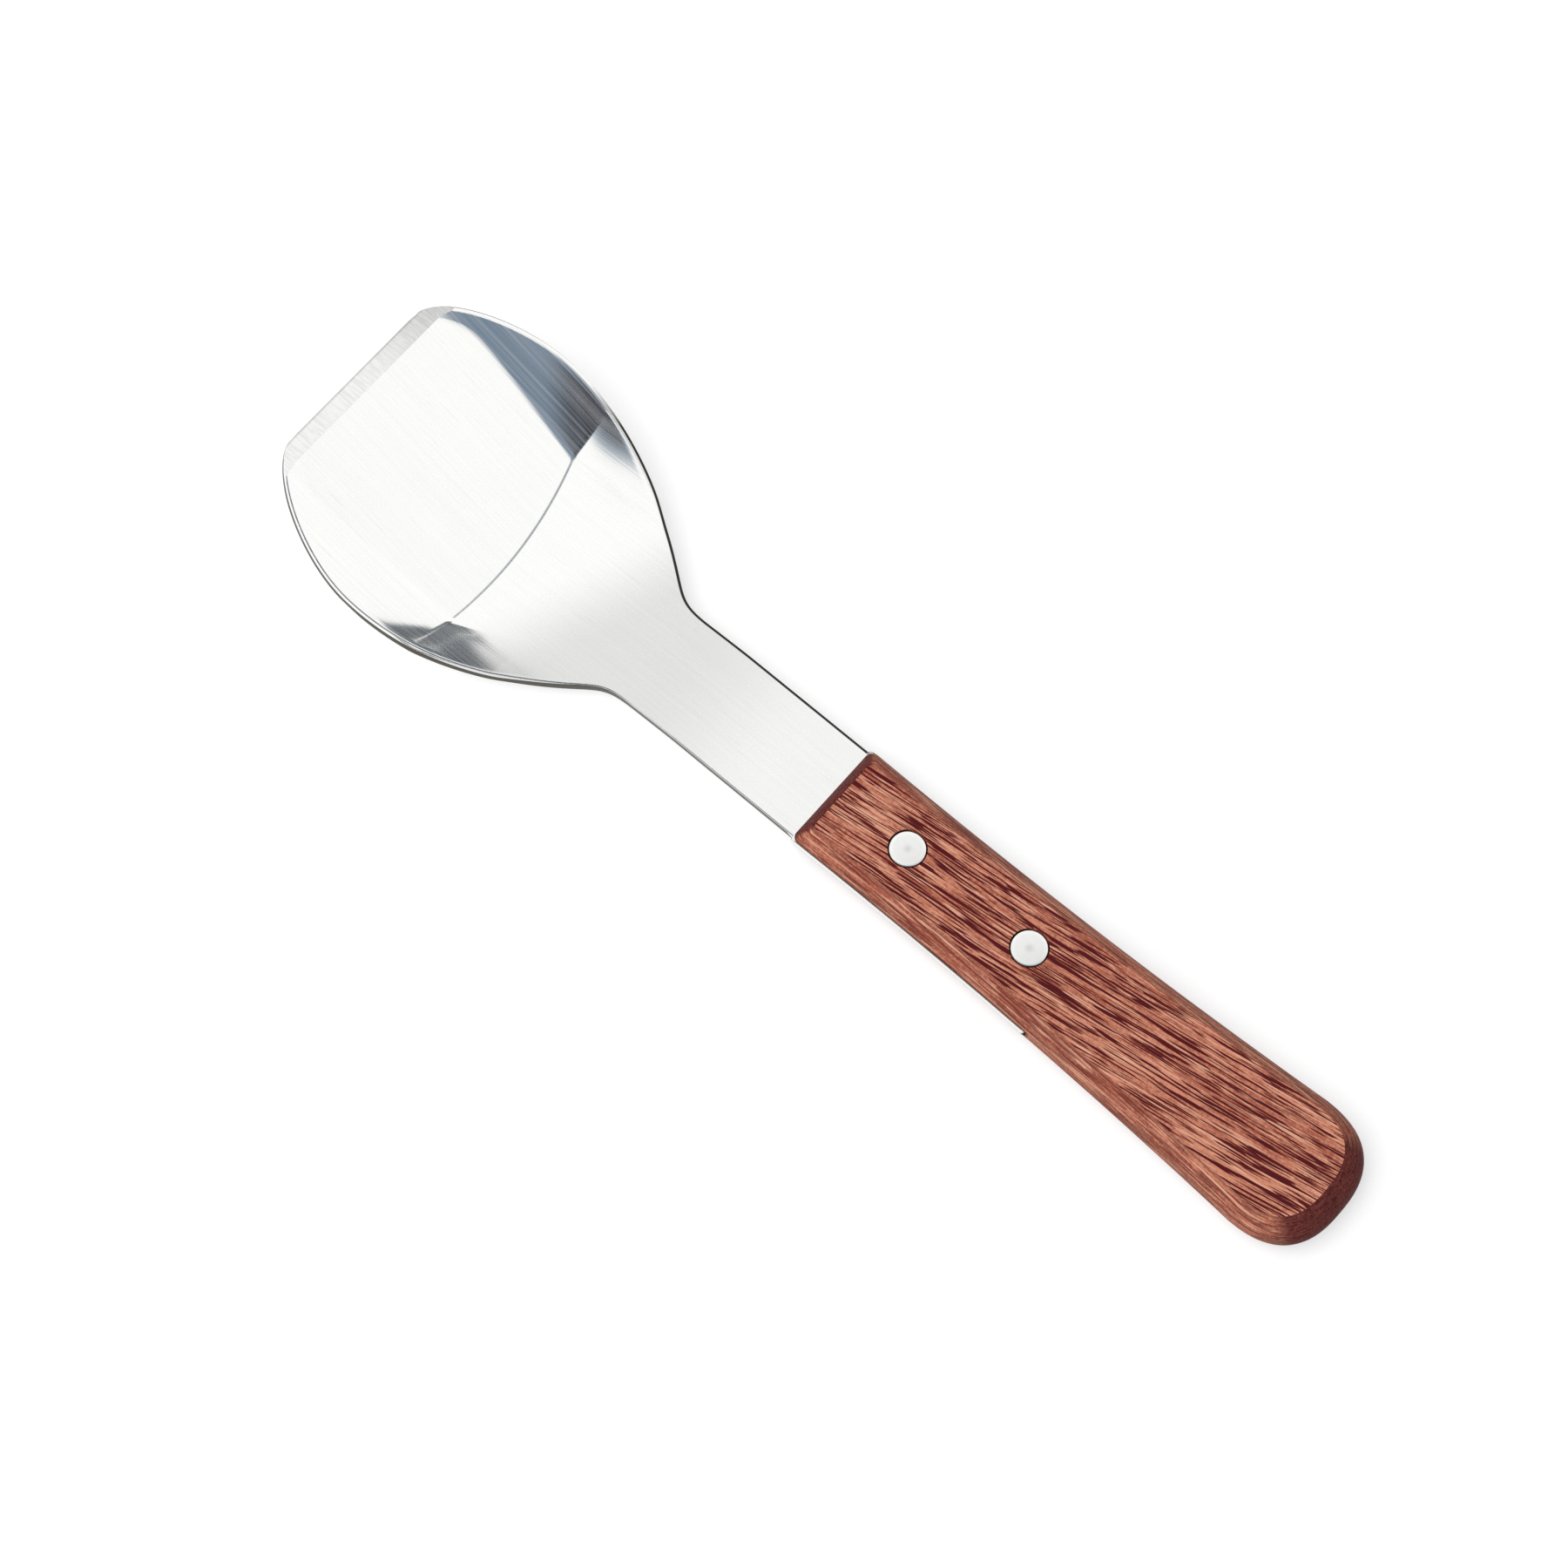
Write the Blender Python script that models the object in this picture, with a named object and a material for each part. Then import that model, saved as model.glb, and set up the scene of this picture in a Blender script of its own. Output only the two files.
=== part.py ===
"""An ice cream spade: one dished steel blade, a slotted wooden handle and two compression rivets.

The design frame has X along the tool with the leading edge at -X, Y across it and Z up. Its zero is
at the middle of the handle's front face, on the upper face of the blade's flat shank. An empty then
carries every piece so that the tool lies on its back on Z = 0, centred on the origin.
"""

import math

import bmesh
import bpy
from mathutils import Vector
from mathutils.geometry import interpolate_bezier

# Sheet
SHEET = 0.0020
SHEET_EDGE_ROUND = 0.00035

# Head of the blade, in plan
HEAD_LENGTH = 0.0793
HEAD_WIDTH = 0.0648
WIDEST_FROM_EDGE = 0.0264
EDGE_WIDTH = 0.0368
CORNER_REACH = 0.0060
CORNER_LEAN = 0.0015
WIDEST_PULL_TO_EDGE = 0.44
WIDEST_PULL_TO_FLANK = 0.48
FLANK_FROM_NECK = 0.0234
FLANK_WIDTH = 0.0473
FLANK_ANGLE = math.radians(32.6)
FLANK_REACH = 0.0020
FLANK_PULL_TO_NECK = 0.86
NECK_REACH = 0.0092
SHANK_WIDTH = 0.0222
SHANK_LENGTH = 0.0408

# Head of the blade, from the side
FLOOR_ANGLE = math.radians(27.7)
HEEL_FROM_EDGE = 0.0414
RAMP_FROM_FRONT = 0.0290
RAMP_HEEL_ANGLE = math.radians(4.0)
RAMP_HEEL_REACH = 0.0180
RAMP_NECK_REACH = 0.0060
RIM_LIFT_FROM_EDGE = 0.0172
RIM_LIFT_HEIGHT = 0.0102
RIM_REACH_FROM_NECK = 0.0340
RIM_DIP = 0.0015

# Foot of the head's side walls, and the heel line between them
FOOT_WIDTH_AT_HEEL = 0.0410
FOOT_WIDTH_AT_EDGE = 0.0498
FOOT_WIDTH_AT_NECK = 0.0040
FOOT_BLEND = 0.0020
WALL_LEAST_WIDTH = 0.0030
WALL_FOOT_SHARPNESS = 0.88
HEEL_ARC_RADIUS = 0.0900
HEEL_ARC_OFFSET = -0.0094

# Ground edge
BEVEL_LENGTH = 0.0035
BEVEL_EDGE = 0.0004
GRINDER_OVERREACH = 4

# Handle
HANDLE_LENGTH = 0.1224
HANDLE_THICKNESS = 0.0107
WAIST_WIDTH = 0.0233
WAIST_FROM_FRONT = 0.0214
BUTT_WIDTH = 0.0291
BUTT_FROM_FRONT = 0.1078
BUTT_SQUARENESS = 2.55
HANDLE_CORNER = 0.0016
SIDE_ROUND = 0.0030
FRONT_ROUND = 0.0023
BUTT_ROUND = 0.0041

# Tang
TANG_LENGTH = 0.0574
TANG_SHOULDER = 0.0010
TANG_END_CORNER = 0.0030

# Rivets
FRONT_RIVET_FROM_FRONT = 0.0188
RIVET_SPACING = 0.0295
RIVET_HEAD = 0.0071
RIVET_HEAD_HEIGHT = 0.0018
RIVET_HEAD_EDGE = 0.0002
BARREL_DIAMETER = 0.0048
STEM_DIAMETER = 0.0027
STEM_ENGAGEMENT = 0.0052

# Fits
FIT_GAP = 0.00025
HEEL_LIFT = 0.0001

# Mesh steps
CURVE_STEPS = 14
FLOOR_STEPS = 6
WALL_STEPS = 5
HANDLE_LEVELS = 6
HANDLE_SIDE_STEPS = 16
HANDLE_END_STEPS = 12
CORNER_STEPS = 4
ROUND_STEPS = 40

EDGE_X = -SHANK_LENGTH - HEAD_LENGTH
TIP_X = EDGE_X - SHEET * math.sin(FLOOR_ANGLE)
NECK_X = -SHANK_LENGTH
WIDEST_X = EDGE_X + WIDEST_FROM_EDGE
HEEL_X = EDGE_X + HEEL_FROM_EDGE
MIDDLE_Z = -SHEET / 2
HANDLE_TOP_Z = MIDDLE_Z + HANDLE_THICKNESS / 2
HANDLE_BOTTOM_Z = MIDDLE_Z - HANDLE_THICKNESS / 2
HEEL_Z = HANDLE_BOTTOM_Z + SHEET + HEEL_LIFT
RIVET_XS = (FRONT_RIVET_FROM_FRONT, FRONT_RIVET_FROM_FRONT + RIVET_SPACING)


def clear_scene():
    for old in list(bpy.data.objects):
        bpy.data.objects.remove(old, do_unlink=True)


def steel_material(name, colour, roughness):
    material = bpy.data.materials.new(name)
    material.use_nodes = True
    shader = material.node_tree.nodes["Principled BSDF"]
    shader.inputs["Base Color"].default_value = (*colour, 1.0)
    shader.inputs["Metallic"].default_value = 1.0
    shader.inputs["Roughness"].default_value = roughness
    return material


def wood_material(name, colour, roughness):
    material = bpy.data.materials.new(name)
    material.use_nodes = True
    shader = material.node_tree.nodes["Principled BSDF"]
    shader.inputs["Base Color"].default_value = (*colour, 1.0)
    shader.inputs["Roughness"].default_value = roughness
    return material


def mesh_object(name, mesh_source, carrier, material):
    """A new object under the carrier, made from a bmesh with its faces turned outwards."""
    bmesh.ops.recalc_face_normals(mesh_source, faces=mesh_source.faces)
    mesh = bpy.data.meshes.new(name)
    mesh_source.to_mesh(mesh)
    mesh_source.free()
    made = bpy.data.objects.new(name, mesh)
    made.parent = carrier
    bpy.context.scene.collection.objects.link(made)
    if material is not None:
        made.data.materials.append(material)
    mesh.shade_smooth()
    mesh.set_sharp_from_angle(angle=math.radians(25))
    return made


def as_cutter(cutter):
    cutter.hide_render = True
    cutter.display_type = "WIRE"
    return cutter


def cut(target, cutter, name):
    boolean = target.modifiers.new(name, "BOOLEAN")
    boolean.operation = "DIFFERENCE"
    boolean.object = cutter


def curve_points(start, start_handle, end_handle, end, steps):
    """Points of a cubic curve in one plane, its start included and its end left out."""
    corners = [Vector((*point, 0.0)) for point in (start, start_handle, end_handle, end)]
    return [(point.x, point.y) for point in interpolate_bezier(*corners, steps + 1)[:-1]]


def curve_value(points, place):
    """The height at this place of a row of (place, height) points in rising order."""
    for (left, low), (right, high) in zip(points, points[1:]):
        if place <= right:
            share = max(0.0, (place - left) / (right - left))
            return low + (high - low) * share
    return points[-1][1]


def handle_half_width(x):
    """Half the handle's width at its widest level: a parabola about the waist."""
    share = (x - WAIST_FROM_FRONT) / (BUTT_FROM_FRONT - WAIST_FROM_FRONT)
    return WAIST_WIDTH / 2 + (BUTT_WIDTH - WAIST_WIDTH) / 2 * share**2


def head_outline():
    """(x, half width) from the leading edge to the neck: three curves that meet smoothly."""
    edge = (EDGE_X, EDGE_WIDTH / 2)
    widest = (WIDEST_X, HEAD_WIDTH / 2)
    flank = (NECK_X - FLANK_FROM_NECK, FLANK_WIDTH / 2)
    neck = (NECK_X, SHANK_WIDTH / 2)
    slope = math.tan(FLANK_ANGLE)
    below = (flank[1] - neck[1]) / slope * FLANK_PULL_TO_NECK
    points = curve_points(
        edge,
        (edge[0] + CORNER_LEAN, edge[1] + CORNER_REACH),
        (widest[0] - WIDEST_FROM_EDGE * WIDEST_PULL_TO_EDGE, widest[1]),
        widest,
        CURVE_STEPS,
    )
    points += curve_points(
        widest,
        (widest[0] + (flank[0] - widest[0]) * WIDEST_PULL_TO_FLANK, widest[1]),
        (flank[0] - FLANK_REACH, flank[1] + FLANK_REACH * slope),
        flank,
        CURVE_STEPS,
    )
    points += curve_points(
        flank,
        (flank[0] + below, flank[1] - below * slope),
        (neck[0] - NECK_REACH, neck[1]),
        neck,
        CURVE_STEPS,
    )
    return points + [neck]


def tang_outline():
    """(x, half width) from the handle's front to the tang's end: shoulder, flush sides, corner."""
    points = [(0.0, SHANK_WIDTH / 2)]
    shoulder = handle_half_width(TANG_SHOULDER) - SHANK_WIDTH / 2
    for step in range(1, CORNER_STEPS + 1):
        turn = math.pi / 2 * step / CORNER_STEPS
        across = SHANK_WIDTH / 2 + shoulder * math.sin(turn)
        points.append((TANG_SHOULDER * (1 - math.cos(turn)), across))
    last = TANG_LENGTH - TANG_END_CORNER
    for step in range(1, CORNER_STEPS + 1):
        x = TANG_SHOULDER + (last - TANG_SHOULDER) * step / CORNER_STEPS
        points.append((x, handle_half_width(x)))
    for step in range(1, CORNER_STEPS + 1):
        turn = math.pi / 2 * step / CORNER_STEPS
        across = handle_half_width(last) - TANG_END_CORNER * (1 - math.cos(turn))
        points.append((last + TANG_END_CORNER * math.sin(turn), across))
    return points


def floor_line():
    """(x, z) of the sheet's upper face along the middle: inclined floor, heel, ramp, flat shank."""
    lead = (EDGE_X, HEEL_Z + HEEL_FROM_EDGE * math.tan(FLOOR_ANGLE))
    heel = (HEEL_X, HEEL_Z)
    ramp_end = (-RAMP_FROM_FRONT, 0.0)
    ramp = curve_points(
        heel,
        (HEEL_X + RAMP_HEEL_REACH, HEEL_Z + RAMP_HEEL_REACH * math.tan(RAMP_HEEL_ANGLE)),
        (ramp_end[0] - RAMP_NECK_REACH, 0.0),
        ramp_end,
        CURVE_STEPS * 2,
    )
    return [lead] + ramp + [ramp_end, (TANG_LENGTH, 0.0)]


def rim_line(floor):
    """(x, z) of the upper face along the head's outline, which rises from the neck to the edge."""
    neck_z = curve_value(floor, NECK_X)
    return curve_points(
        (EDGE_X, floor[0][1]),
        (EDGE_X + RIM_LIFT_FROM_EDGE, RIM_LIFT_HEIGHT),
        (NECK_X - RIM_REACH_FROM_NECK, neck_z - RIM_DIP),
        (NECK_X, neck_z),
        CURVE_STEPS * 2,
    ) + [(NECK_X, neck_z)]


def foot_half_width(x, half_width):
    """How far from the middle the side wall starts, at a row whose outline lies at half_width."""
    stations = [
        (EDGE_X, FOOT_WIDTH_AT_EDGE / 2),
        (HEEL_X, FOOT_WIDTH_AT_HEEL / 2),
        (NECK_X, FOOT_WIDTH_AT_NECK / 2),
    ]
    line = curve_value(stations, x)
    limit = half_width - WALL_LEAST_WIDTH
    return (line + limit - math.hypot(line - limit, FOOT_BLEND)) / 2


def wall_share(x, share):
    """The share of the wall's rise at this share of its width: a sharp foot on the floor alone."""
    behind = (x - HEEL_X) / (NECK_X - HEEL_X)
    sharpness = WALL_FOOT_SHARPNESS * (1 - min(1.0, max(0.0, behind)))
    return sharpness * share + (1 - sharpness) * share**2


def heel_shift(x, across):
    """How far the row through x moves forward at this place across the head.

    The heel line is a wide arc that bows towards the edge, and its lowest point lies off the middle.
    The rows take it up from the leading edge and from the neck.
    """
    strength = curve_value([(EDGE_X, 0.0), (HEEL_X, 1.0), (NECK_X, 0.0)], x)
    foot = FOOT_WIDTH_AT_HEEL / 2
    clamped = max(-foot, min(foot, across))
    return strength * (clamped - HEEL_ARC_OFFSET) ** 2 / (2 * HEEL_ARC_RADIUS)


def head_row(x, outline, floor, rim):
    """The points of one row across the head, from one rim over the floor to the other.

    A row that moves forward rises by the floor's slope. So the floor stays flat, and the ramp is
    dished to meet it along the heel line.
    """
    row = []
    for side in (-1, 1):
        rim_x = x - heel_shift(x, side * HEAD_WIDTH)
        half_width = curve_value(outline, rim_x)
        foot = foot_half_width(x, half_width)
        places = [(foot * step / FLOOR_STEPS, 0.0) for step in range(FLOOR_STEPS)]
        for step in range(WALL_STEPS + 1):
            share = step / WALL_STEPS
            places.append((foot + (half_width - foot) * share, wall_share(x, share)))
        foot_z = curve_value(floor, x) + heel_shift(x, side * foot) * math.tan(FLOOR_ANGLE)
        wall = max(0.0, curve_value(rim, rim_x) - foot_z)
        points = []
        for across, share in places:
            forward = heel_shift(x, side * across)
            z = curve_value(floor, x) + forward * math.tan(FLOOR_ANGLE) + wall * share
            points.append((x - forward, side * across, z))
        row += reversed(points) if side < 0 else points[1:]
    return row


def flat_row(x, half_width):
    """The points of one row across the flat shank or the tang, as many as the head's rows have."""
    foot = half_width - WALL_LEAST_WIDTH
    places = [foot * step / FLOOR_STEPS for step in range(FLOOR_STEPS)]
    places += [foot + WALL_LEAST_WIDTH * step / WALL_STEPS for step in range(WALL_STEPS + 1)]
    across = [-place for place in reversed(places)] + places[1:]
    return [(x, y, 0.0) for y in across]


def sheet_bmesh():
    """The sheet's upper face as a grid: one row of points for each station along it."""
    floor = floor_line()
    rim = rim_line(floor)
    outline = head_outline()
    stations = [x for x, half_width in outline if abs(x - HEEL_X) > SHEET / 2]
    stations = sorted(stations + [HEEL_X])
    rows = [head_row(x, outline, floor, rim) for x in stations]
    for step in range(1, CURVE_STEPS + 1):
        x = NECK_X + (-RAMP_FROM_FRONT - NECK_X) * step / CURVE_STEPS
        z = curve_value(floor, x)
        rows.append([(x, y, z) for _, y, _ in flat_row(x, SHANK_WIDTH / 2)])
    rows += [flat_row(x, half_width) for x, half_width in tang_outline()]
    mesh = bmesh.new()
    lines = [[mesh.verts.new(point) for point in row] for row in rows]
    for line, following in zip(lines, lines[1:]):
        for index in range(len(line) - 1):
            corners = (line[index], following[index], following[index + 1], line[index + 1])
            mesh.faces.new(corners)
    return mesh


def box_cutter(name, size, place, carrier, tilt=0.0):
    mesh = bmesh.new()
    bmesh.ops.create_cube(mesh, size=1.0)
    bmesh.ops.scale(mesh, vec=size, verts=mesh.verts)
    cutter = as_cutter(mesh_object(name, mesh, carrier, None))
    cutter.location = place
    cutter.rotation_euler = (0.0, tilt, 0.0)
    return cutter


def cylinder_cutter(name, diameter, bottom, top, x, carrier):
    mesh = bmesh.new()
    bmesh.ops.create_cone(
        mesh,
        cap_ends=True,
        segments=ROUND_STEPS,
        radius1=diameter / 2,
        radius2=diameter / 2,
        depth=top - bottom,
    )
    cutter = as_cutter(mesh_object(name, mesh, carrier, None))
    cutter.location = (x, 0.0, (top + bottom) / 2)
    return cutter


def ground_edge_cutter(carrier):
    """A box whose underside is the plane ground on the leading edge, from its inner line outwards."""
    grind = math.atan2(SHEET - BEVEL_EDGE, BEVEL_LENGTH)
    inner_x = EDGE_X + BEVEL_LENGTH * math.cos(FLOOR_ANGLE)
    inner_z = HEEL_Z + (HEEL_X - inner_x) * math.tan(FLOOR_ANGLE)
    slope = FLOOR_ANGLE - grind
    depth = BEVEL_LENGTH * GRINDER_OVERREACH
    height = SHEET * GRINDER_OVERREACH
    middle_x = inner_x + height / 2 * math.sin(slope)
    middle_z = inner_z + height / 2 * math.cos(slope)
    size = (depth, HEAD_WIDTH, height)
    place = (middle_x, 0.0, middle_z)
    return box_cutter("ground_edge_cutter", size, place, carrier, slope)


def make_blade(carrier):
    """One stamped sheet: dished head with a ground edge, neck, shank and the tang with its holes."""
    steel = steel_material("brushed_steel", (0.76, 0.76, 0.74), 0.24)
    mesh = sheet_bmesh()
    bmesh.ops.recalc_face_normals(mesh, faces=mesh.faces)
    if sum(face.normal.z for face in mesh.faces) < 0:
        bmesh.ops.reverse_faces(mesh, faces=mesh.faces)
    sheet = bpy.data.meshes.new("blade")
    mesh.to_mesh(sheet)
    mesh.free()
    blade = bpy.data.objects.new("blade", sheet)
    blade.parent = carrier
    bpy.context.scene.collection.objects.link(blade)
    sheet.materials.append(steel)
    sheet.shade_smooth()
    thicken = blade.modifiers.new("thickness", "SOLIDIFY")
    thicken.thickness = SHEET
    thicken.offset = -1.0
    thicken.use_even_offset = True
    soften = blade.modifiers.new("softened_edges", "BEVEL")
    soften.width = SHEET_EDGE_ROUND
    soften.segments = 2
    soften.limit_method = "ANGLE"
    soften.angle_limit = math.radians(60)
    soften.use_clamp_overlap = False
    cut(blade, ground_edge_cutter(carrier), "ground_edge")
    for number, x in enumerate(RIVET_XS, start=1):
        hole = BARREL_DIAMETER + 2 * FIT_GAP
        drill = cylinder_cutter(f"tang_drill_{number}", hole, -2 * SHEET, SHEET, x, carrier)
        cut(blade, drill, f"rivet_hole_{number}")
    return blade


def round_inset(run, height):
    """How far a side that is rounded by this run has moved in at this height above the middle."""
    return run * (height / (HANDLE_THICKNESS / 2)) ** 2


def handle_ring(height):
    """The handle's outline at this height above its middle plane, as points round its edge."""
    side_inset = round_inset(SIDE_ROUND, height)
    front = round_inset(FRONT_ROUND, height)
    end = HANDLE_LENGTH - round_inset(BUTT_ROUND, height)
    points = []
    corner_x = front + HANDLE_CORNER
    corner_y = handle_half_width(corner_x) - side_inset - HANDLE_CORNER
    for step in range(CORNER_STEPS + 1):
        turn = math.pi / 2 * step / CORNER_STEPS
        x = corner_x - HANDLE_CORNER * math.cos(turn)
        points.append((x, corner_y + HANDLE_CORNER * math.sin(turn)))
    for step in range(1, HANDLE_SIDE_STEPS):
        x = corner_x + (BUTT_FROM_FRONT - corner_x) * step / HANDLE_SIDE_STEPS
        points.append((x, handle_half_width(x) - side_inset))
    butt_y = handle_half_width(BUTT_FROM_FRONT) - side_inset
    power = 2 / BUTT_SQUARENESS
    for step in range(HANDLE_END_STEPS + 1):
        turn = math.pi / 2 * step / HANDLE_END_STEPS
        x = BUTT_FROM_FRONT + (end - BUTT_FROM_FRONT) * abs(math.sin(turn)) ** power
        points.append((x, butt_y * abs(math.cos(turn)) ** power))
    points[-1] = (end, 0.0)
    mirrored = [(x, -y) for x, y in reversed(points[:-1])]
    return points + mirrored


def handle_bmesh():
    """The handle before its slot is sawn: rings of the outline, closed by a flat face at each end."""
    mesh = bmesh.new()
    rings = []
    for level in range(-HANDLE_LEVELS, HANDLE_LEVELS + 1):
        height = HANDLE_THICKNESS / 2 * level / HANDLE_LEVELS
        ring = [mesh.verts.new((x, y, MIDDLE_Z + height)) for x, y in handle_ring(height)]
        rings.append(ring)
    for ring, following in zip(rings, rings[1:]):
        for index in range(len(ring)):
            after = (index + 1) % len(ring)
            mesh.faces.new((ring[index], ring[after], following[after], following[index]))
    mesh.faces.new(rings[0])
    mesh.faces.new(rings[-1])
    return mesh


def make_handle(carrier):
    """One piece of hardwood, slotted for the tang and drilled and counterbored for the rivets."""
    wood = wood_material("reddish_hardwood", (0.36, 0.13, 0.075), 0.5)
    handle = mesh_object("handle", handle_bmesh(), carrier, wood)
    slot_length = TANG_LENGTH + FIT_GAP
    slot_size = (2 * slot_length, BUTT_WIDTH * 2, SHEET + 2 * FIT_GAP)
    cut(handle, box_cutter("slot_saw", slot_size, (0.0, 0.0, MIDDLE_Z), carrier), "tang_slot")
    hole = BARREL_DIAMETER + 2 * FIT_GAP
    bore = RIVET_HEAD + 2 * FIT_GAP
    depth = RIVET_HEAD_HEIGHT + FIT_GAP
    bottom = HANDLE_BOTTOM_Z
    top = HANDLE_TOP_Z
    for number, x in enumerate(RIVET_XS, start=1):
        drills = (
            ("drill", hole, bottom - SHEET, top + SHEET),
            ("lower_bore", bore, bottom - SHEET, bottom + depth),
            ("upper_bore", bore, top - depth, top + SHEET),
        )
        for name, diameter, low, high in drills:
            cutter = cylinder_cutter(f"{name}_{number}", diameter, low, high, x, carrier)
            cut(handle, cutter, f"{name}_{number}")
    return handle


def turned_bmesh(profile):
    """A solid turned about Z from (radius, z) points, which start and end on the axis."""
    mesh = bmesh.new()
    loops = []
    for radius, z in profile:
        if radius == 0.0:
            loops.append([mesh.verts.new((0.0, 0.0, z))])
            continue
        turns = [2 * math.pi * step / ROUND_STEPS for step in range(ROUND_STEPS)]
        loop = [(radius * math.cos(turn), radius * math.sin(turn), z) for turn in turns]
        loops.append([mesh.verts.new(point) for point in loop])
    for loop, following in zip(loops, loops[1:]):
        for index in range(ROUND_STEPS):
            after = (index + 1) % ROUND_STEPS
            if len(loop) == 1:
                mesh.faces.new((loop[0], following[index], following[after]))
            elif len(following) == 1:
                mesh.faces.new((loop[index], loop[after], following[0]))
            else:
                mesh.faces.new((loop[index], loop[after], following[after], following[index]))
    return mesh


def head_profile(face, inwards):
    """The rivet head's rim as (radius, z) points, from its flush face to its underside."""
    radius = RIVET_HEAD / 2
    return [
        (radius - RIVET_HEAD_EDGE, face),
        (radius, face + RIVET_HEAD_EDGE * inwards),
        (radius, face + RIVET_HEAD_HEIGHT * inwards),
    ]


def make_rivet(name, x, steel, carrier):
    """A compression rivet: the barrel half comes from above and the stem half from below."""
    barrel_radius = BARREL_DIAMETER / 2
    bore_radius = STEM_DIAMETER / 2 + FIT_GAP
    under_upper = HANDLE_TOP_Z - RIVET_HEAD_HEIGHT
    over_lower = HANDLE_BOTTOM_Z + RIVET_HEAD_HEIGHT
    barrel_end = over_lower + FIT_GAP
    stem_end = barrel_end + STEM_ENGAGEMENT
    barrel = [(0.0, HANDLE_TOP_Z)] + head_profile(HANDLE_TOP_Z, -1)
    barrel += [
        (barrel_radius, under_upper),
        (barrel_radius, barrel_end),
        (bore_radius, barrel_end),
        (bore_radius, stem_end + FIT_GAP),
        (0.0, stem_end + FIT_GAP),
    ]
    stem = [(0.0, HANDLE_BOTTOM_Z)] + head_profile(HANDLE_BOTTOM_Z, 1)
    stem += [
        (STEM_DIAMETER / 2, over_lower),
        (STEM_DIAMETER / 2, stem_end),
        (0.0, stem_end),
    ]
    for half, profile in (("barrel", barrel), ("stem", stem)):
        made = mesh_object(f"{name}_{half}", turned_bmesh(profile), carrier, steel)
        made.location.x = x


def make_carrier():
    """The empty that lays the tool on Z = 0 with the middle of its length at X = 0."""
    carrier = bpy.data.objects.new("spade_frame", None)
    carrier.location = (-(TIP_X + HANDLE_LENGTH) / 2, 0.0, -HANDLE_BOTTOM_Z)
    bpy.context.scene.collection.objects.link(carrier)
    return carrier


def main():
    clear_scene()
    carrier = make_carrier()
    make_blade(carrier)
    make_handle(carrier)
    rivet_steel = steel_material("satin_rivet_steel", (0.78, 0.77, 0.74), 0.3)
    for name, x in zip(("front_rivet", "rear_rivet"), RIVET_XS):
        make_rivet(name, x, rivet_steel, carrier)


main()
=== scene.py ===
"""Looks of the ice cream spade: a brushed steel blade, a hardwood handle, two rivets and a stage.

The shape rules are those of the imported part, at a finer step. They are written in the tool's own
frame, whose zero is at the middle of the handle's front face on the upper face of the flat shank,
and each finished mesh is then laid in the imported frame.
"""

import math
from functools import partial, reduce

import bmesh
import bpy
from bpy.props import FloatProperty, FloatVectorProperty, PointerProperty
from mathutils import Matrix, Vector
from mathutils.bvhtree import BVHTree
from mathutils.geometry import interpolate_bezier


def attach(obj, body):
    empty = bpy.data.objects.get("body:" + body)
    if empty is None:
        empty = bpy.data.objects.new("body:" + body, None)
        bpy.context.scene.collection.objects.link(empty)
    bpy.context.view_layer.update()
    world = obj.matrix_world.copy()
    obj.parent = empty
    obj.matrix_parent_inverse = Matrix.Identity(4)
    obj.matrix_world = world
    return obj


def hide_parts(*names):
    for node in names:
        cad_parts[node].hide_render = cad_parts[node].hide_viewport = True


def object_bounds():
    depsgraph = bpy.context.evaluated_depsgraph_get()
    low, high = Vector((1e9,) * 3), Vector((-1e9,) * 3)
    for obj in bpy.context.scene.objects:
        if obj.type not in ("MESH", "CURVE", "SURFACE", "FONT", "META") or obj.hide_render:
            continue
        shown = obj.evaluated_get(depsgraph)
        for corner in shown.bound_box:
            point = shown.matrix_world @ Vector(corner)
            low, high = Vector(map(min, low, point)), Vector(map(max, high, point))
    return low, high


bl_info = {
    "name": "Ice Cream Spade",
    "version": (1, 0, 0),
    "blender": (4, 5, 0),
    "location": "View3D > Sidebar > Spade",
    "description": "Dresses the packed ice cream spade and sets it on a plain stage",
    "category": "Object",
}

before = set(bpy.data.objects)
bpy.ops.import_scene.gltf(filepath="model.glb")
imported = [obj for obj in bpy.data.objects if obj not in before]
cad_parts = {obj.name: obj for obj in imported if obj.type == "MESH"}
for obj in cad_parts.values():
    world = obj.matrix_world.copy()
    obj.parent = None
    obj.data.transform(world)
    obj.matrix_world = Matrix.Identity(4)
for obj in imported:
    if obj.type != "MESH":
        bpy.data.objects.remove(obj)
CAD_BOX = [list(corner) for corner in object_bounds()]

# Sheet
SHEET = 0.0020

# Head of the blade, in plan
HEAD_LENGTH = 0.0793
HEAD_WIDTH = 0.0648
WIDEST_FROM_EDGE = 0.0264
EDGE_WIDTH = 0.0368
CORNER_REACH = 0.0060
CORNER_LEAN = 0.0015
WIDEST_PULL_TO_EDGE = 0.44
WIDEST_PULL_TO_FLANK = 0.48
FLANK_FROM_NECK = 0.0234
FLANK_WIDTH = 0.0473
FLANK_ANGLE = math.radians(32.6)
FLANK_REACH = 0.0020
FLANK_PULL_TO_NECK = 0.86
NECK_REACH = 0.0092
SHANK_WIDTH = 0.0222
SHANK_LENGTH = 0.0408

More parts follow.
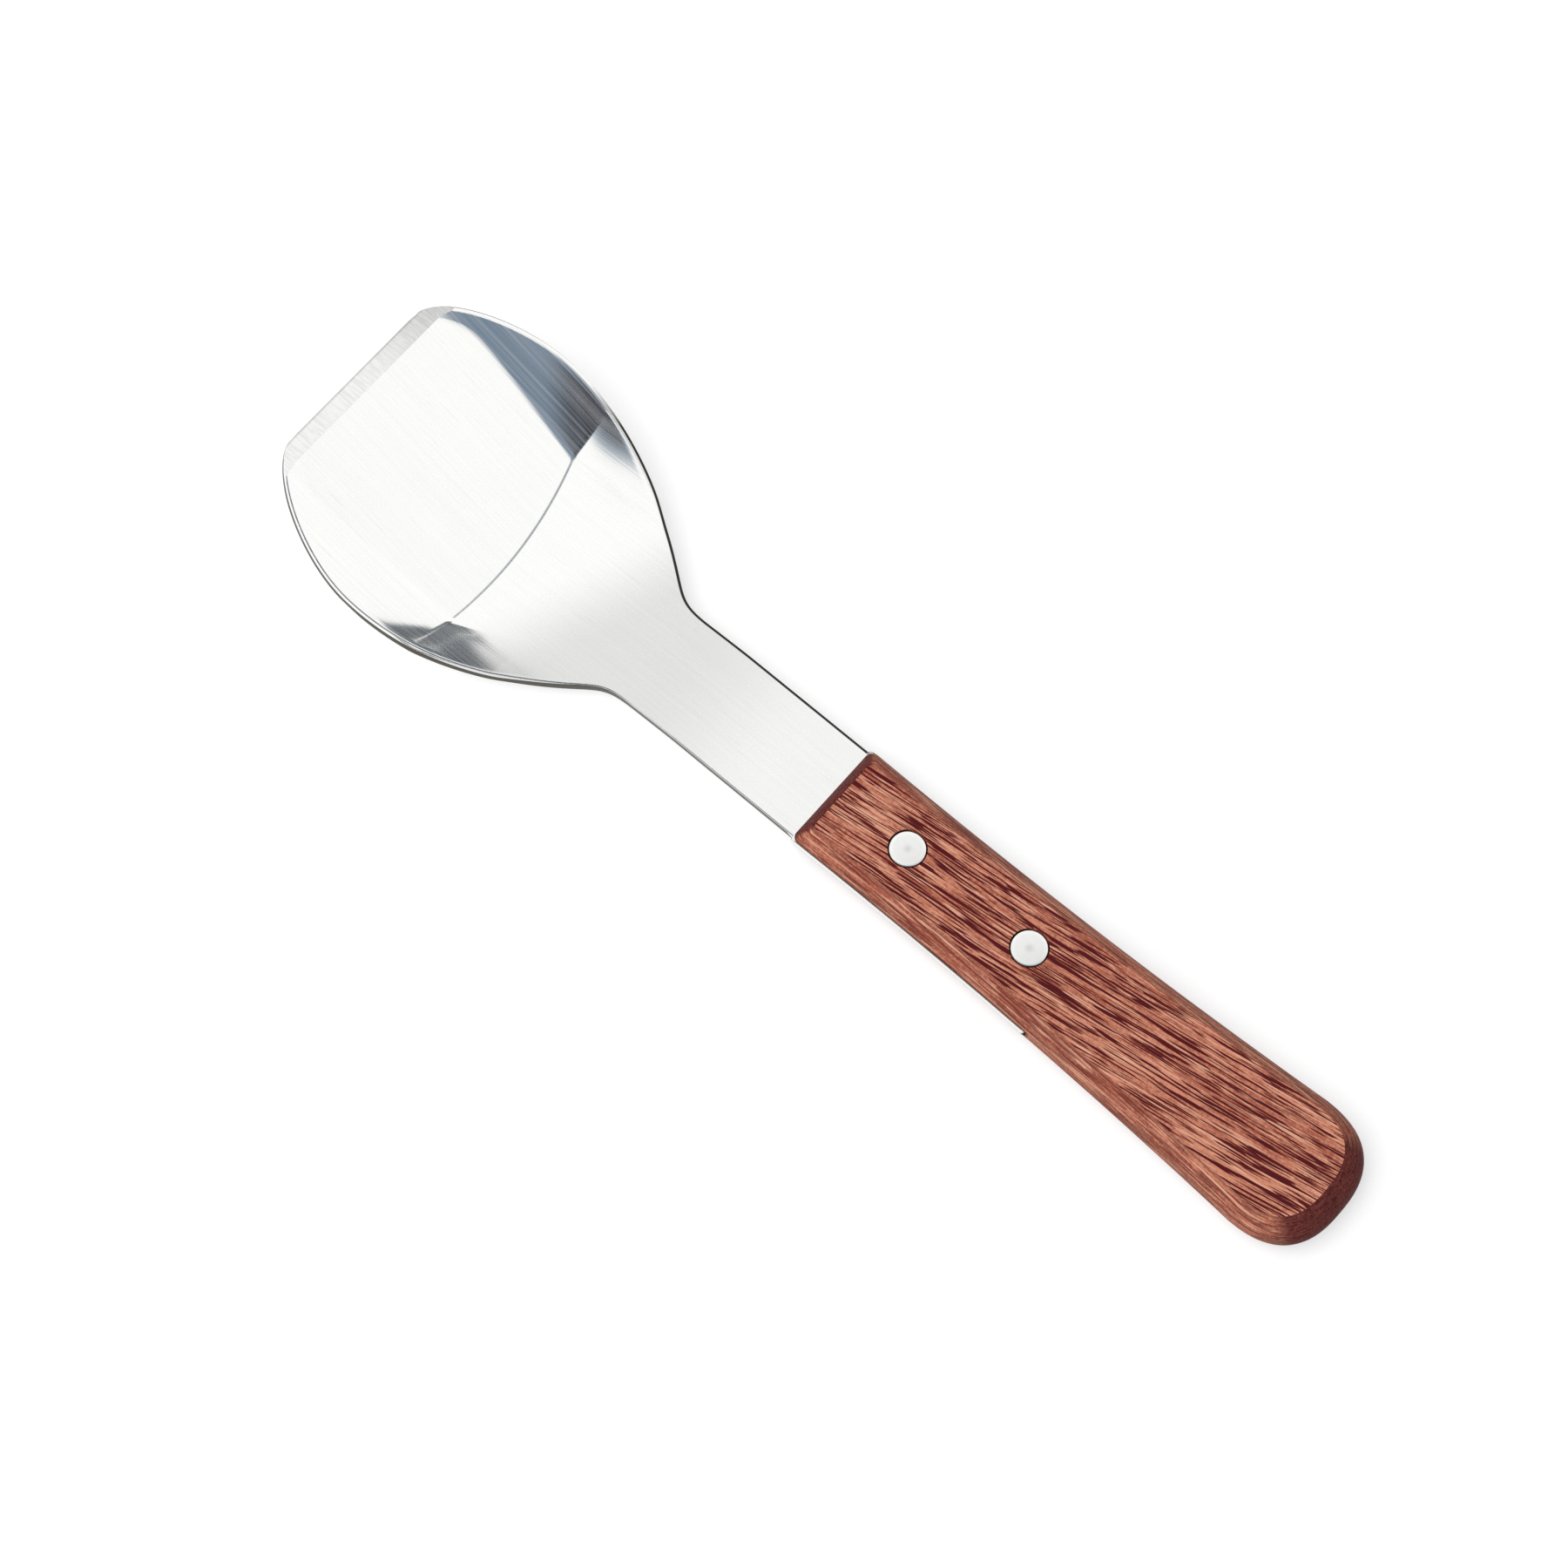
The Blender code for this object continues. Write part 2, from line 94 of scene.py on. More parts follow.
# Head of the blade, from the side
FLOOR_ANGLE = math.radians(27.7)
HEEL_FROM_EDGE = 0.0414
RAMP_FROM_FRONT = 0.0290
RAMP_HEEL_ANGLE = math.radians(4.0)
RAMP_HEEL_REACH = 0.0180
RAMP_NECK_REACH = 0.0060
RIM_LIFT_FROM_EDGE = 0.0172
RIM_LIFT_HEIGHT = 0.0102
RIM_REACH_FROM_NECK = 0.0340
RIM_DIP = 0.0015

# Foot of the head's side walls, and the heel line between them
FOOT_WIDTH_AT_HEEL = 0.0410
FOOT_WIDTH_AT_EDGE = 0.0498
FOOT_WIDTH_AT_NECK = 0.0040
FOOT_BLEND = 0.0020
WALL_LEAST_WIDTH = 0.0030
WALL_FOOT_SHARPNESS = 0.88
HEEL_ARC_RADIUS = 0.0900
HEEL_ARC_OFFSET = -0.0094

# Ground edge
BEVEL_LENGTH = 0.0035
BEVEL_EDGE = 0.0004
GRINDER_OVERREACH = 4

# Handle
HANDLE_LENGTH = 0.1224
HANDLE_THICKNESS = 0.0107
WAIST_WIDTH = 0.0233
WAIST_FROM_FRONT = 0.0214
BUTT_WIDTH = 0.0291
BUTT_FROM_FRONT = 0.1078
BUTT_SQUARENESS = 2.55
HANDLE_CORNER = 0.0016
SIDE_ROUND = 0.0030
FRONT_ROUND = 0.0023
BUTT_ROUND = 0.0041

# Tang, whose end corners are 3 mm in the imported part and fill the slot's open end here
TANG_LENGTH = 0.0574
TANG_SHOULDER = 0.0010
TANG_END_CORNER = 0.0010

# Rivets
FRONT_RIVET_FROM_FRONT = 0.0188
RIVET_SPACING = 0.0295
RIVET_HEAD = 0.0071
RIVET_HEAD_HEIGHT = 0.0018
RIVET_CROWN = 0.00008
RIVET_RIM_ROUND = 0.00028
BARREL_DIAMETER = 0.0048
STEM_DIAMETER = 0.0027
STEM_ENGAGEMENT = 0.0052

# Fits
FIT_GAP = 0.00025
HEEL_LIFT = 0.0001

# Small forms of the head: the rounded heel line, and a lip that is level on the far side alone
CREASE_ROUND = 0.0006
LIP_WIDTH = 0.0012
LIP_ROUND = 0.0001
LIP_LEVEL = {-1: 0.0, 1: 1.0}

# Mesh steps of the dressed pieces
CURVE_STEPS = 40
FLOOR_STEPS = 18
WALL_STEPS = 14
CORNER_STEPS = 8
CIRCLE_STEPS = 96
CROWN_STEPS = 8
RIM_STEPS = 5
ROUND_STEPS = 3
MERGE_DISTANCE = 0.000002

# From which angle an edge is rounded and from which it is shaded sharp
BLADE_ROUND_ANGLE = math.radians(60)
BLADE_SHARP_ANGLE = math.radians(35)
HANDLE_ROUND_ANGLE = math.radians(13)
HANDLE_SHARP_ANGLE = math.radians(20)
RIVET_SHARP_ANGLE = math.radians(30)

# How far a face leans where the flank's look starts, and how squarely it faces the handle's ends
# where end grain with its painted shade starts. Each look is full after its run.
FLANK_START = 0.15
FLANK_RUN = 0.2
END_GRAIN_AND_SHADE_START = 0.42
END_GRAIN_AND_SHADE_RUN = 0.33
LEAST_LEAN = 0.1

# Half the height of the ribbon that distances from the sheet's outline are measured to, what
# counts as all of a turn or a share, and what keeps a ring's first point when it is counted
RIBBON_REACH = 0.01
NEARLY_ONE = 0.9999
JUST_OVER_ONE = 1.00001

# Places that other sizes give
EDGE_X = -SHANK_LENGTH - HEAD_LENGTH
TIP_X = EDGE_X - SHEET * math.sin(FLOOR_ANGLE)
NECK_X = -SHANK_LENGTH
WIDEST_X = EDGE_X + WIDEST_FROM_EDGE
HEEL_X = EDGE_X + HEEL_FROM_EDGE
MIDDLE_Z = -SHEET / 2
HANDLE_TOP_Z = MIDDLE_Z + HANDLE_THICKNESS / 2
HANDLE_BOTTOM_Z = MIDDLE_Z - HANDLE_THICKNESS / 2
HEEL_Z = HANDLE_BOTTOM_Z + SHEET + HEEL_LIFT
RIVET_XS = (FRONT_RIVET_FROM_FRONT, FRONT_RIVET_FROM_FRONT + RIVET_SPACING)
TO_FRAME = Matrix.Translation((-(TIP_X + HANDLE_LENGTH) / 2, 0.0, -HANDLE_BOTTOM_Z))
SLOT_END = TANG_LENGTH + FIT_GAP + TO_FRAME.translation.x

# Every noise has its scales per metre, its detail and, where it needs them, its roughness and the
# place it starts at. Its span is the levels between which most of it lies.
NOISE_SPAN = (0.3, 0.7)

# Brushed steel: its noises, with scales along, across and through the sheet, and then where each
# look starts and is full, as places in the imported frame, shares of the depth and distances.
# A shade is the share of a colour's level that is left, and a share is how much of a look shows.
STEEL_LINES = ((30.0, 2600.0, 60.0), 3.0, 0.6)
STEEL_CLOUDS = ((60.0, 90.0, 90.0), 2.0)
STEEL_SCRATCHES = ((90.0, 5200.0, 90.0), 1.0)
STEEL_STROKES = ((14.0, 2100.0, 30.0), 2.0, 0.6, (1.0, 2.0, 3.0))
LINE_SHADE = 0.95
LINE_BUMP = 0.5
SCRATCH_LEVELS = (0.72, 0.78)
SCRATCH_SHARE = 0.35
SCRATCH_COLOUR = (0.6, 0.6, 0.6, 1.0)
STROKE_LEVELS = (0.42, 0.66)
STROKE_METAL = (1.0, 0.86)
STEEL_ROUGHNESS = 0.065
ROUGHER_BY_LOOK = (0.08, 0.05, 0.06, 0.25)
# Where the neck and shank turn satin, and the painted shade that darkens their colour and fades
# towards the handle
SATIN_AND_SHADE_PLACES = (-0.071, -0.053)
SATIN_AND_SHADE_SLANT = 0.4
SATIN_PAINTED_SHADE = 0.22
PAINTED_SHADE_FADES = (-0.040, -0.012)
PAINTED_SHADE_HELD = (1.0, 0.3)
# Depths of the cut edge's dull break, which is painted darker as shade too
SHEAR_PLACES = (-0.064, -0.052)
SHEAR_DEPTHS = (0.42, 0.08)
SHEAR_HIDDEN = (-0.002, 0.0)
SHEAR_HIDDEN_DEPTH = 0.7
BREAK_STARTS = (0.0, 0.05)
BREAK_ENDS = (0.93, 0.99)
# Painted shade: a narrow dark line along the far rim
PAINTED_RIM_SIDE = (0.002, 0.005)
PAINTED_RIM_START = (-0.090, -0.080)
PAINTED_RIM_END = (0.0, -0.001)
PAINTED_RIM_WIDTH = (0.00062, 0.00052)
PAINTED_RIM_SHADE = 0.35

# Ground bevel: its marks, the stretch over which painted shade darkens it towards the far side, and
# the depth of its burr
GRINDER_MARKS = ((220.0, 1900.0, 220.0), 3.0, 0.65)
GRINDER_STREAKS = (0.60, 0.40)
GRINDER_STREAK_SHARE = 0.3
GROUND_PAINTED_SHADE_PLACES = (0.003, 0.021)
GROUND_PAINTED_SHADE_SHARE = 0.58
GRINDER_BUMP = 0.6
GROUND_SHADES = (0.98, 0.50)
GROUND_ROUGHNESS = (0.20, 0.34)
BURR_DEPTHS = (0.69, 0.76)
BURR_SHARES = (0.0, 0.34)

# Hardwood: its noises, with scales along and across the grain, and how far the grain sways.
# It turns further away from the handle's length towards the butt, by the bend per metre.
# Each kind of pore has its scales, the levels between which it shows and the place it starts at.
GRAIN_BEND = 0.36
GRAIN_WAVES = 30.0
GRAIN_SWAY = (0.0, 0.0014, 0.0014)
GRAIN_CENTRED = (0.0, -0.0007, -0.0007)
FLANK_SCALE = (1.0, 0.10, 1.3)
FLANK_OFFSET = (0.0, 0.7, 0.0)
WOOD_BANDS = ((28.0, 330.0, 330.0), 2.0)
WOOD_FIBRES = ((190.0, 3200.0, 3200.0), 2.0, 0.65, (3.0, 1.0, 5.0))
WOOD_SPECKS = ((1500.0, 2200.0, 2200.0), 2.0, 0.6)
WOOD_TONES = (1.25, 1.66)
WOOD_ROUGHNESS = (0.44, 0.62)
WOOD_SHINE = 0.06
WOOD_BUMP = 0.45
WOOD_BUMP_HEIGHT = 0.0001
FIBRE_SHARE = 0.9
FLANK_DARKER = 0.08
FLANK_HIDES_PORES = 0.4
DARK_PORES = ((95.0, 2600.0, 2600.0), (0.54, 0.585), (7.0, 3.0, 1.0))
LONG_PORES = ((75.0, 2200.0, 2200.0), (0.59, 0.635), (2.0, 9.0, 4.0))
LIGHT_PORES = ((110.0, 2800.0, 2800.0), (0.56, 0.64), (5.0, 6.0, 8.0))
PORE_GRAIN = (1.2, 0.45)
PORE_DEPTH = 1.6
LIGHT_PORE_SHARE = 0.75
LIGHT_PORE_COLOUR = (0.76, 0.42, 0.29, 1.0)
# End grain: the levels of its rings, and its dark and light tones, which also hold painted shade
END_GRAIN_TONES = (0.7, 1.3)
END_GRAIN_AND_SHADE_DARK = (0.045, 0.007, 0.007, 1.0)
END_GRAIN_AND_SHADE_LIGHT = (0.21, 0.055, 0.046, 1.0)
# Painted shade on the wood along the slot, where it meets the tang, up to the slot's end
SLOT_SHADE_COLOUR = (0.035, 0.008, 0.008, 1.0)
SLOT_SHADE_HEIGHTS = (0.0012, 0.0022)
SLOT_SHADE_SHARES = (0.8, 0.0)
SLOT_HEIGHT = MIDDLE_Z + TO_FRAME.translation.z
SLOT_SHADE_PLACES = (SLOT_END, SLOT_END + 0.0008)

# Rivet steel: its marks, the struck middle and the bright rim, as distances from the axis
RIVET_MARKS = ((900.0, 900.0, 900.0), 3.0, 0.6)
RIVET_MARK_LEVELS = (0.35, 0.65)
RIVET_SHADES = (0.90, 0.98, 0.76, 1.0)
RIVET_STRUCK = (0.0, 0.0013)
RIVET_STRUCK_SHARES = (0.9, 0.0)
RIVET_BRIGHT = (0.0026, 0.0031)
RIVET_ROUGHNESS = (0.26, 0.40)
RIVET_BUMP = 0.3
RIVET_BUMP_HEIGHT = 0.00002

# Camera, from the photo's own view
CAMERA_PLACE = (0.142305, -0.17998, 0.67357)
CAMERA_RIGHT = (0.75626, 0.65427, 0.00116)
CAMERA_UP = (-0.61837, 0.71418, 0.32798)
CAMERA_BACK = (0.21376, -0.24876, 0.94468)
CAMERA_LENS = 85.806
CAMERA_SENSOR = 36.0
CAMERA_NEAREST = 0.01

# What the steel mirrors besides white: azimuth, elevation, inner and outer angle, colour
DARK_OF_THE_ROOM = (
    (45, 77, 6, 14, (0.34, 0.36, 0.39)),
    (-96, 48, 18.5, 22.5, (0.32, 0.38, 0.45)),
    (-50, 52, 27, 40.5, (0.18, 0.235, 0.31)),
    (-75, 50, 8, 26, (0.075, 0.085, 0.105)),
    (-96, 48, 14, 18.5, (0.055, 0.06, 0.075)),
    (107, 8, 18, 21, (0.125, 0.14, 0.16)),
    (105, 28, 11.5, 14.5, (0.125, 0.14, 0.16)),
)
HORIZON = (0.12, 0.12, 0.13, 1.0)
HORIZON_HEIGHTS = (0.05, 0.22)
WHITE = (1.0, 1.0, 1.0, 1.0)

# Floor and lamp
FLOOR_RADIUS = 4.0
FLOOR_DROP = 0.00005
FLOOR_MOTTLE = ((30.0, 30.0, 30.0), 3.0)
FLOOR_SHADE = 0.985
FLOOR_ROUGHNESS = 0.9
FAR_FLOOR = (0.7, 2.4)
FAR_FLOOR_LIFT = 0.3
KEY_PLACE = (-0.25, -0.50, 1.50)
KEY_SIZE = 1.3
BRIGHT_SIDE = (-115, 35)
BRIGHT_SIDE_FACINGS = (-0.9, 0.9)
BRIGHT_SIDE_LIGHT = (0.25, 1.75)


# Settings


def length_setting(name, description, default, least, most, precision=5):
    """A length that a user would change."""
    return FloatProperty(
        name=name,
        description=description,
        default=default,
        min=least,
        max=most,
        precision=precision,
        subtype="DISTANCE",
        unit="LENGTH",
    )


def colour_setting(name, description, default):
    """A colour that a user would change."""
    return FloatVectorProperty(
        name=name,
        description=description,
        default=default,
        min=0.0,
        max=1.0,
        size=3,
        subtype="COLOR",
    )


def level_setting(name, description, default, most):
    """A strength or share that a user would change, from none to the most."""
    return FloatProperty(name=name, description=description, default=default, min=0.0, max=most)


class SpadeBladeSettings(bpy.types.PropertyGroup):
    """Sizes and finish of the steel blade."""

    rim_round: length_setting(
        "Rim Rounding", "Radius of the rounding along the sheet's edges", 0.00035, 0.0001, 0.0009
    )
    steel_colour: colour_setting(
        "Steel Colour", "Colour of the brushed steel", (0.955, 0.958, 0.935)
    )
    # Dark colour of the dull broken edges and burr, also used to paint shade on the cut edges and
    # along the far rim
    dull_edge_and_shade_colour: colour_setting(
        "Broken Edge",
        "Colour of the dull lower half of the sheet's cut edges",
        (0.12, 0.112, 0.10),
    )
    brush_depth: length_setting(
        "Brush Depth", "Depth of the fine brushed lines", 0.00002, 0.0, 0.0002, 6
    )


class SpadeHandleSettings(bpy.types.PropertyGroup):
    """Edges and colours of the wooden handle."""

    edge_softness: length_setting(
        "Edge Softness", "How far the sanded edges are eased", 0.0003, 0.0, 0.001
    )
    grain_tilt: FloatProperty(
        name="Grain Tilt",
        description="Angle between the wood's grain and the handle's length",
        default=math.radians(5.0),
        subtype="ANGLE",
        unit="ROTATION",
    )
    light_colour: colour_setting(
        "Light Fibres", "Colour of the wood's light fibres", (0.62, 0.25, 0.16)
    )
    middle_colour: colour_setting(
        "Wood", "Colour of the wood between light and dark", (0.34, 0.095, 0.06)
    )
    pore_colour: colour_setting("Pores", "Colour of the dark pores", (0.085, 0.010, 0.012))


class SpadeRivetSettings(bpy.types.PropertyGroup):
    """Sizes and finish of the rivets."""

    head_diameter: length_setting(
        "Head Diameter",
        "Diameter of the flush rivet heads",
        RIVET_HEAD,
        0.004,
        RIVET_HEAD + FIT_GAP,
        4,
    )
    satin_colour: colour_setting(
        "Rivet Colour", "Colour of the satin rivet steel", (0.95, 0.95, 0.925)
    )


class SpadeStageSettings(bpy.types.PropertyGroup):
    """Floor and light of the studio."""

    floor_colour: colour_setting(
        "Floor Colour", "Colour of the plain pale floor", (0.50, 0.50, 0.50)
    )
    key_power: FloatProperty(
        name="Key Power",
        description="Power of the large soft lamp",
        default=19.0,
        min=0.0,
        subtype="POWER",
        unit="POWER",
    )
    floor_lift: level_setting(
        "Floor Lift",
        "How much lighter the floor is to the camera than its light makes it",
        0.56,
        1.0,
    )
    mirror_strength: level_setting(
        "Mirror Strength", "Strength of the white that the steel mirrors", 1.06, 2.0
    )
    sky_strength: level_setting(
        "Sky Strength", "Strength of the even light from all round", 0.34, 2.0
    )


# Nodes


def fill_inputs(tree, node, inputs):
    """Joins each socket given to its input of the node, and sets the plain values there."""
    for key, value in inputs.items():
        if isinstance(value, bpy.types.NodeSocket):
            tree.links.new(value, node.inputs[key])
        else:
            node.inputs[key].default_value = value


def add_node(tree, kind, inputs=None, **settings):
    """A new node with these settings, whose inputs are given as values or as sockets to join."""
    made = tree.nodes.new(kind)
    for name, value in settings.items():
        setattr(made, name, value)
    fill_inputs(tree, made, inputs or {})
    return made


def add_math(tree, operation, first, second=0.0):
    inputs = {0: first, 1: second}
    return add_node(tree, "ShaderNodeMath", inputs, operation=operation).outputs[0]


def plus(tree, *terms):
    """The sum of numbers and sockets."""
    return reduce(partial(add_math, tree, "ADD"), terms)


def times(tree, *factors):
    """The product of numbers and sockets."""
    return reduce(partial(add_math, tree, "MULTIPLY"), factors)


def minus(tree, first, second):
    return add_math(tree, "SUBTRACT", first, second)


def split(tree, vector):
    """The three coordinates of a vector."""
    return add_node(tree, "ShaderNodeSeparateXYZ", {0: vector}).outputs


def joined(tree, x, y, z):
    """The vector with these coordinates."""
    return add_node(tree, "ShaderNodeCombineXYZ", {0: x, 1: y, 2: z}).outputs[0]


def add_vector_math(tree, operation, *terms, output="Vector"):
    inputs = dict(enumerate(terms))
    made = add_node(tree, "ShaderNodeVectorMath", inputs, operation=operation)
    return made.outputs[output]


def add_mark(tree, name):
    """What the mesh has stored under this name for each point."""
    return add_node(tree, "ShaderNodeAttribute", attribute_name=name).outputs["Fac"]


def add_blend(tree, factor, first, second):
    """A mix of two colours."""
    inputs = {0: factor, 6: first, 7: second}
    return add_node(tree, "ShaderNodeMix", inputs, data_type="RGBA").outputs[2]


def add_range(tree, value, limits, results=(0.0, 1.0), smooth=False):
    """The value, carried from its limits to the results and held between them."""
    inputs = dict(enumerate((value, *limits, *results)))
    kind = "SMOOTHSTEP" if smooth else "LINEAR"
    return add_node(tree, "ShaderNodeMapRange", inputs, interpolation_type=kind).outputs[0]


def add_grain(tree, place, stretch, detail, roughness=0.5, start=(0.0, 0.0, 0.0)):
    """Noise that is stretched by a scale for each axis, and starts at its own place."""
    inputs = {"Vector": place, "Location": start, "Scale": stretch}
    stretched = add_node(tree, "ShaderNodeMapping", inputs).outputs[0]
    inputs = {"Vector": stretched, "Scale": 1.0, "Detail": detail, "Roughness": roughness}
    return add_node(tree, "ShaderNodeTexNoise", inputs).outputs[0]


def add_bump(tree, shader, height, strength, distance):
    inputs = {"Strength": strength, "Distance": distance, "Height": height}
    fill_inputs(tree, shader, {"Normal": add_node(tree, "ShaderNodeBump", inputs).outputs[0]})


def new_material(name):
    """A material's tree, its shader and the place of each point on the piece."""
    material = bpy.data.materials.new(name)
    material.use_nodes = True
    tree = material.node_tree
    place = add_node(tree, "ShaderNodeTexCoord").outputs["Object"]
    return material, tree, tree.nodes["Principled BSDF"], place


def linear_colour(colour, level=1.0):
    """The colour at this share of its level, with its alpha."""
    return (*(channel * level for channel in colour), 1.0)


# Materials


def brushed_steel(settings):
    """Brushed sheet steel: fine lines along the tool, soft clouds and few scratches.

    The head is polished, and the neck and shank are satin, with painted shade in their colour that
    is a little lighter towards the handle.
    """
    material, tree, shader, place = new_material("brushed_steel")
    x, y, z = split(tree, place)
    brushed = joined(tree, x, add_mark(tree, "across"), z)
    lines = add_grain(tree, brushed, *STEEL_LINES)
    clouds = add_grain(tree, place, *STEEL_CLOUDS)
    scratches = add_range(tree, add_grain(tree, brushed, *STEEL_SCRATCHES), SCRATCH_LEVELS)
    bright = linear_colour(settings.steel_colour)
    dark = linear_colour(settings.steel_colour, LINE_SHADE)
    colour = add_blend(tree, add_range(tree, lines, NOISE_SPAN), dark, bright)
    colour = add_blend(tree, times(tree, scratches, SCRATCH_SHARE), colour, SCRATCH_COLOUR)
    # Painted shade over the satin neck and shank, less of it towards the handle
    slanted = minus(tree, x, times(tree, y, SATIN_AND_SHADE_SLANT))
    satin = add_range(tree, slanted, SATIN_AND_SHADE_PLACES, smooth=True)
    held = add_range(tree, x, PAINTED_SHADE_FADES, PAINTED_SHADE_HELD, True)
    inputs = {0: colour, "Scale": minus(tree, 1.0, times(tree, satin, held, SATIN_PAINTED_SHADE))}
    colour = add_node(tree, "ShaderNodeVectorMath", inputs, operation="SCALE").outputs[0]
    # The cut edge's dull lower half, painted darker as shade too
    broken = add_broken_edge_shade(tree, x)
    colour = add_blend(tree, broken, colour, linear_colour(settings.dull_edge_and_shade_colour))
    # Painted shade: a narrow dark line along the far rim
    rim = add_painted_rim_shade(tree, x, y)
    colour = add_blend(tree, rim, colour, linear_colour(settings.dull_edge_and_shade_colour, PAINTED_RIM_SHADE))
    dull = add_math(tree, "MAXIMUM", broken, rim)
    strokes = add_grain(tree, brushed, *STEEL_STROKES)
    metal = add_range(tree, strokes, STROKE_LEVELS, STROKE_METAL)
    looks = zip((lines, clouds, satin, dull), ROUGHER_BY_LOOK)
    rough = plus(tree, *(times(tree, look, share) for look, share in looks), STEEL_ROUGHNESS)
    fill_inputs(tree, shader, {"Base Color": colour, "Metallic": metal, "Roughness": rough})
    add_bump(tree, shader, lines, LINE_BUMP, settings.brush_depth)
    return material


def add_broken_edge_shade(tree, x):
    """How much of the sheet's cut edge is dark: dull where the die broke it away below its shear,
    and painted darker there as shade.

    The shear is deep around the head and shallow along the shank. In the handle the edge is bright.
    """
    depth = add_mark(tree, "edge_depth")
    start = add_range(tree, x, SHEAR_PLACES, SHEAR_DEPTHS)
    hidden = times(tree, add_range(tree, x, SHEAR_HIDDEN), SHEAR_HIDDEN_DEPTH)
    begun = add_range(tree, minus(tree, depth, plus(tree, start, hidden)), BREAK_STARTS)
    return times(tree, begun, add_range(tree, depth, BREAK_ENDS, (1.0, 0.0)))


def add_painted_rim_shade(tree, x, y):
    """How much painted shade, as a narrow dark line, lies along the far rim."""
    return times(
        tree,
        add_range(tree, y, PAINTED_RIM_SIDE),
        add_range(tree, x, PAINTED_RIM_START),
        add_range(tree, x, PAINTED_RIM_END),
        add_range(tree, add_mark(tree, "from_rim"), PAINTED_RIM_WIDTH),
    )


def ground_steel(settings):
    """The ground bevel: coarser marks that run across it, and painted shade that greys it towards
    the far side.
    """
    material, tree, shader, place = new_material("ground_steel")
    marks = add_grain(tree, place, *GRINDER_MARKS)
    streaked = times(tree, add_range(tree, marks, GRINDER_STREAKS), GRINDER_STREAK_SHARE)
    # Painted shade, greyer towards the far side
    far_side_shade = add_range(tree, split(tree, place)[1], GROUND_PAINTED_SHADE_PLACES)
    tone = plus(tree, streaked, times(tree, far_side_shade, GROUND_PAINTED_SHADE_SHARE))
    bright, dark = (linear_colour(settings.steel_colour, shade) for shade in GROUND_SHADES)
    burr = add_range(tree, add_mark(tree, "edge_depth"), BURR_DEPTHS, BURR_SHARES)
    colour = add_blend(tree, tone, bright, dark)
    colour = add_blend(tree, burr, colour, linear_colour(settings.dull_edge_and_shade_colour))
    rough = add_range(tree, marks, NOISE_SPAN, GROUND_ROUGHNESS)
    fill_inputs(tree, shader, {"Base Color": colour, "Metallic": 1.0, "Roughness": rough})
    add_bump(tree, shader, marks, GRINDER_BUMP, settings.brush_depth)
    return material


def reddish_hardwood(settings):
    """Oiled hardwood: tilted fibres, fine dark pores with light ones beside, dark end grain that
    also holds painted shade, and painted shade along the slot.
    """
    material, tree, shader, place = new_material("reddish_hardwood")
    length, _, height = split(tree, place)
    flank = add_mark(tree, "flank")
    grain = add_wood_grain(tree, place, length, flank, settings.grain_tilt)
    bands = add_grain(tree, grain, *WOOD_BANDS)
    fibres = add_grain(tree, grain, *WOOD_FIBRES)
    specks = add_grain(tree, place, *WOOD_SPECKS)
    kinds = (DARK_PORES, LONG_PORES, LIGHT_PORES)
    streaks, marks, lights = (add_streaks(tree, grain, *kind) for kind in kinds)
    middle = linear_colour(settings.middle_colour)
    light = linear_colour(settings.light_colour)
    tone = plus(tree, times(tree, fibres, FIBRE_SHARE), bands, specks)
    tone = minus(tree, tone, times(tree, flank, FLANK_DARKER))
    body = add_blend(tree, add_range(tree, tone, WOOD_TONES), middle, light)
    body = add_blend(tree, times(tree, lights, LIGHT_PORE_SHARE), body, LIGHT_PORE_COLOUR)
    pores = add_math(tree, "MAXIMUM", streaks, marks)
    share = times(tree, pores, minus(tree, 1.0, times(tree, flank, FLANK_HIDES_PORES)))
    body = add_blend(tree, share, body, linear_colour(settings.pore_colour))
    # End grain with painted shade, where a face looks towards the handle's ends
    rings = add_range(tree, plus(tree, fibres, specks), END_GRAIN_TONES)
    end_tone = add_blend(tree, rings, END_GRAIN_AND_SHADE_DARK, END_GRAIN_AND_SHADE_LIGHT)
    body = add_blend(tree, add_mark(tree, "end_grain_and_shade"), body, end_tone)
    # Painted shade along the slot, where the wood meets the tang
    from_slot = add_math(tree, "ABSOLUTE", minus(tree, height, SLOT_HEIGHT))
    slot_shade = add_range(tree, from_slot, SLOT_SHADE_HEIGHTS, SLOT_SHADE_SHARES, True)
    slot_shade = times(tree, slot_shade, add_range(tree, length, SLOT_SHADE_PLACES, (1.0, 0.0)))
    body = add_blend(tree, slot_shade, body, SLOT_SHADE_COLOUR)
    rough = add_range(tree, fibres, NOISE_SPAN, WOOD_ROUGHNESS)
    inputs = {"Base Color": body, "Specular IOR Level": WOOD_SHINE, "Roughness": rough}
    fill_inputs(tree, shader, inputs)
    relief = minus(tree, fibres, times(tree, pores, PORE_DEPTH))
    add_bump(tree, shader, relief, WOOD_BUMP, WOOD_BUMP_HEIGHT)
    return material


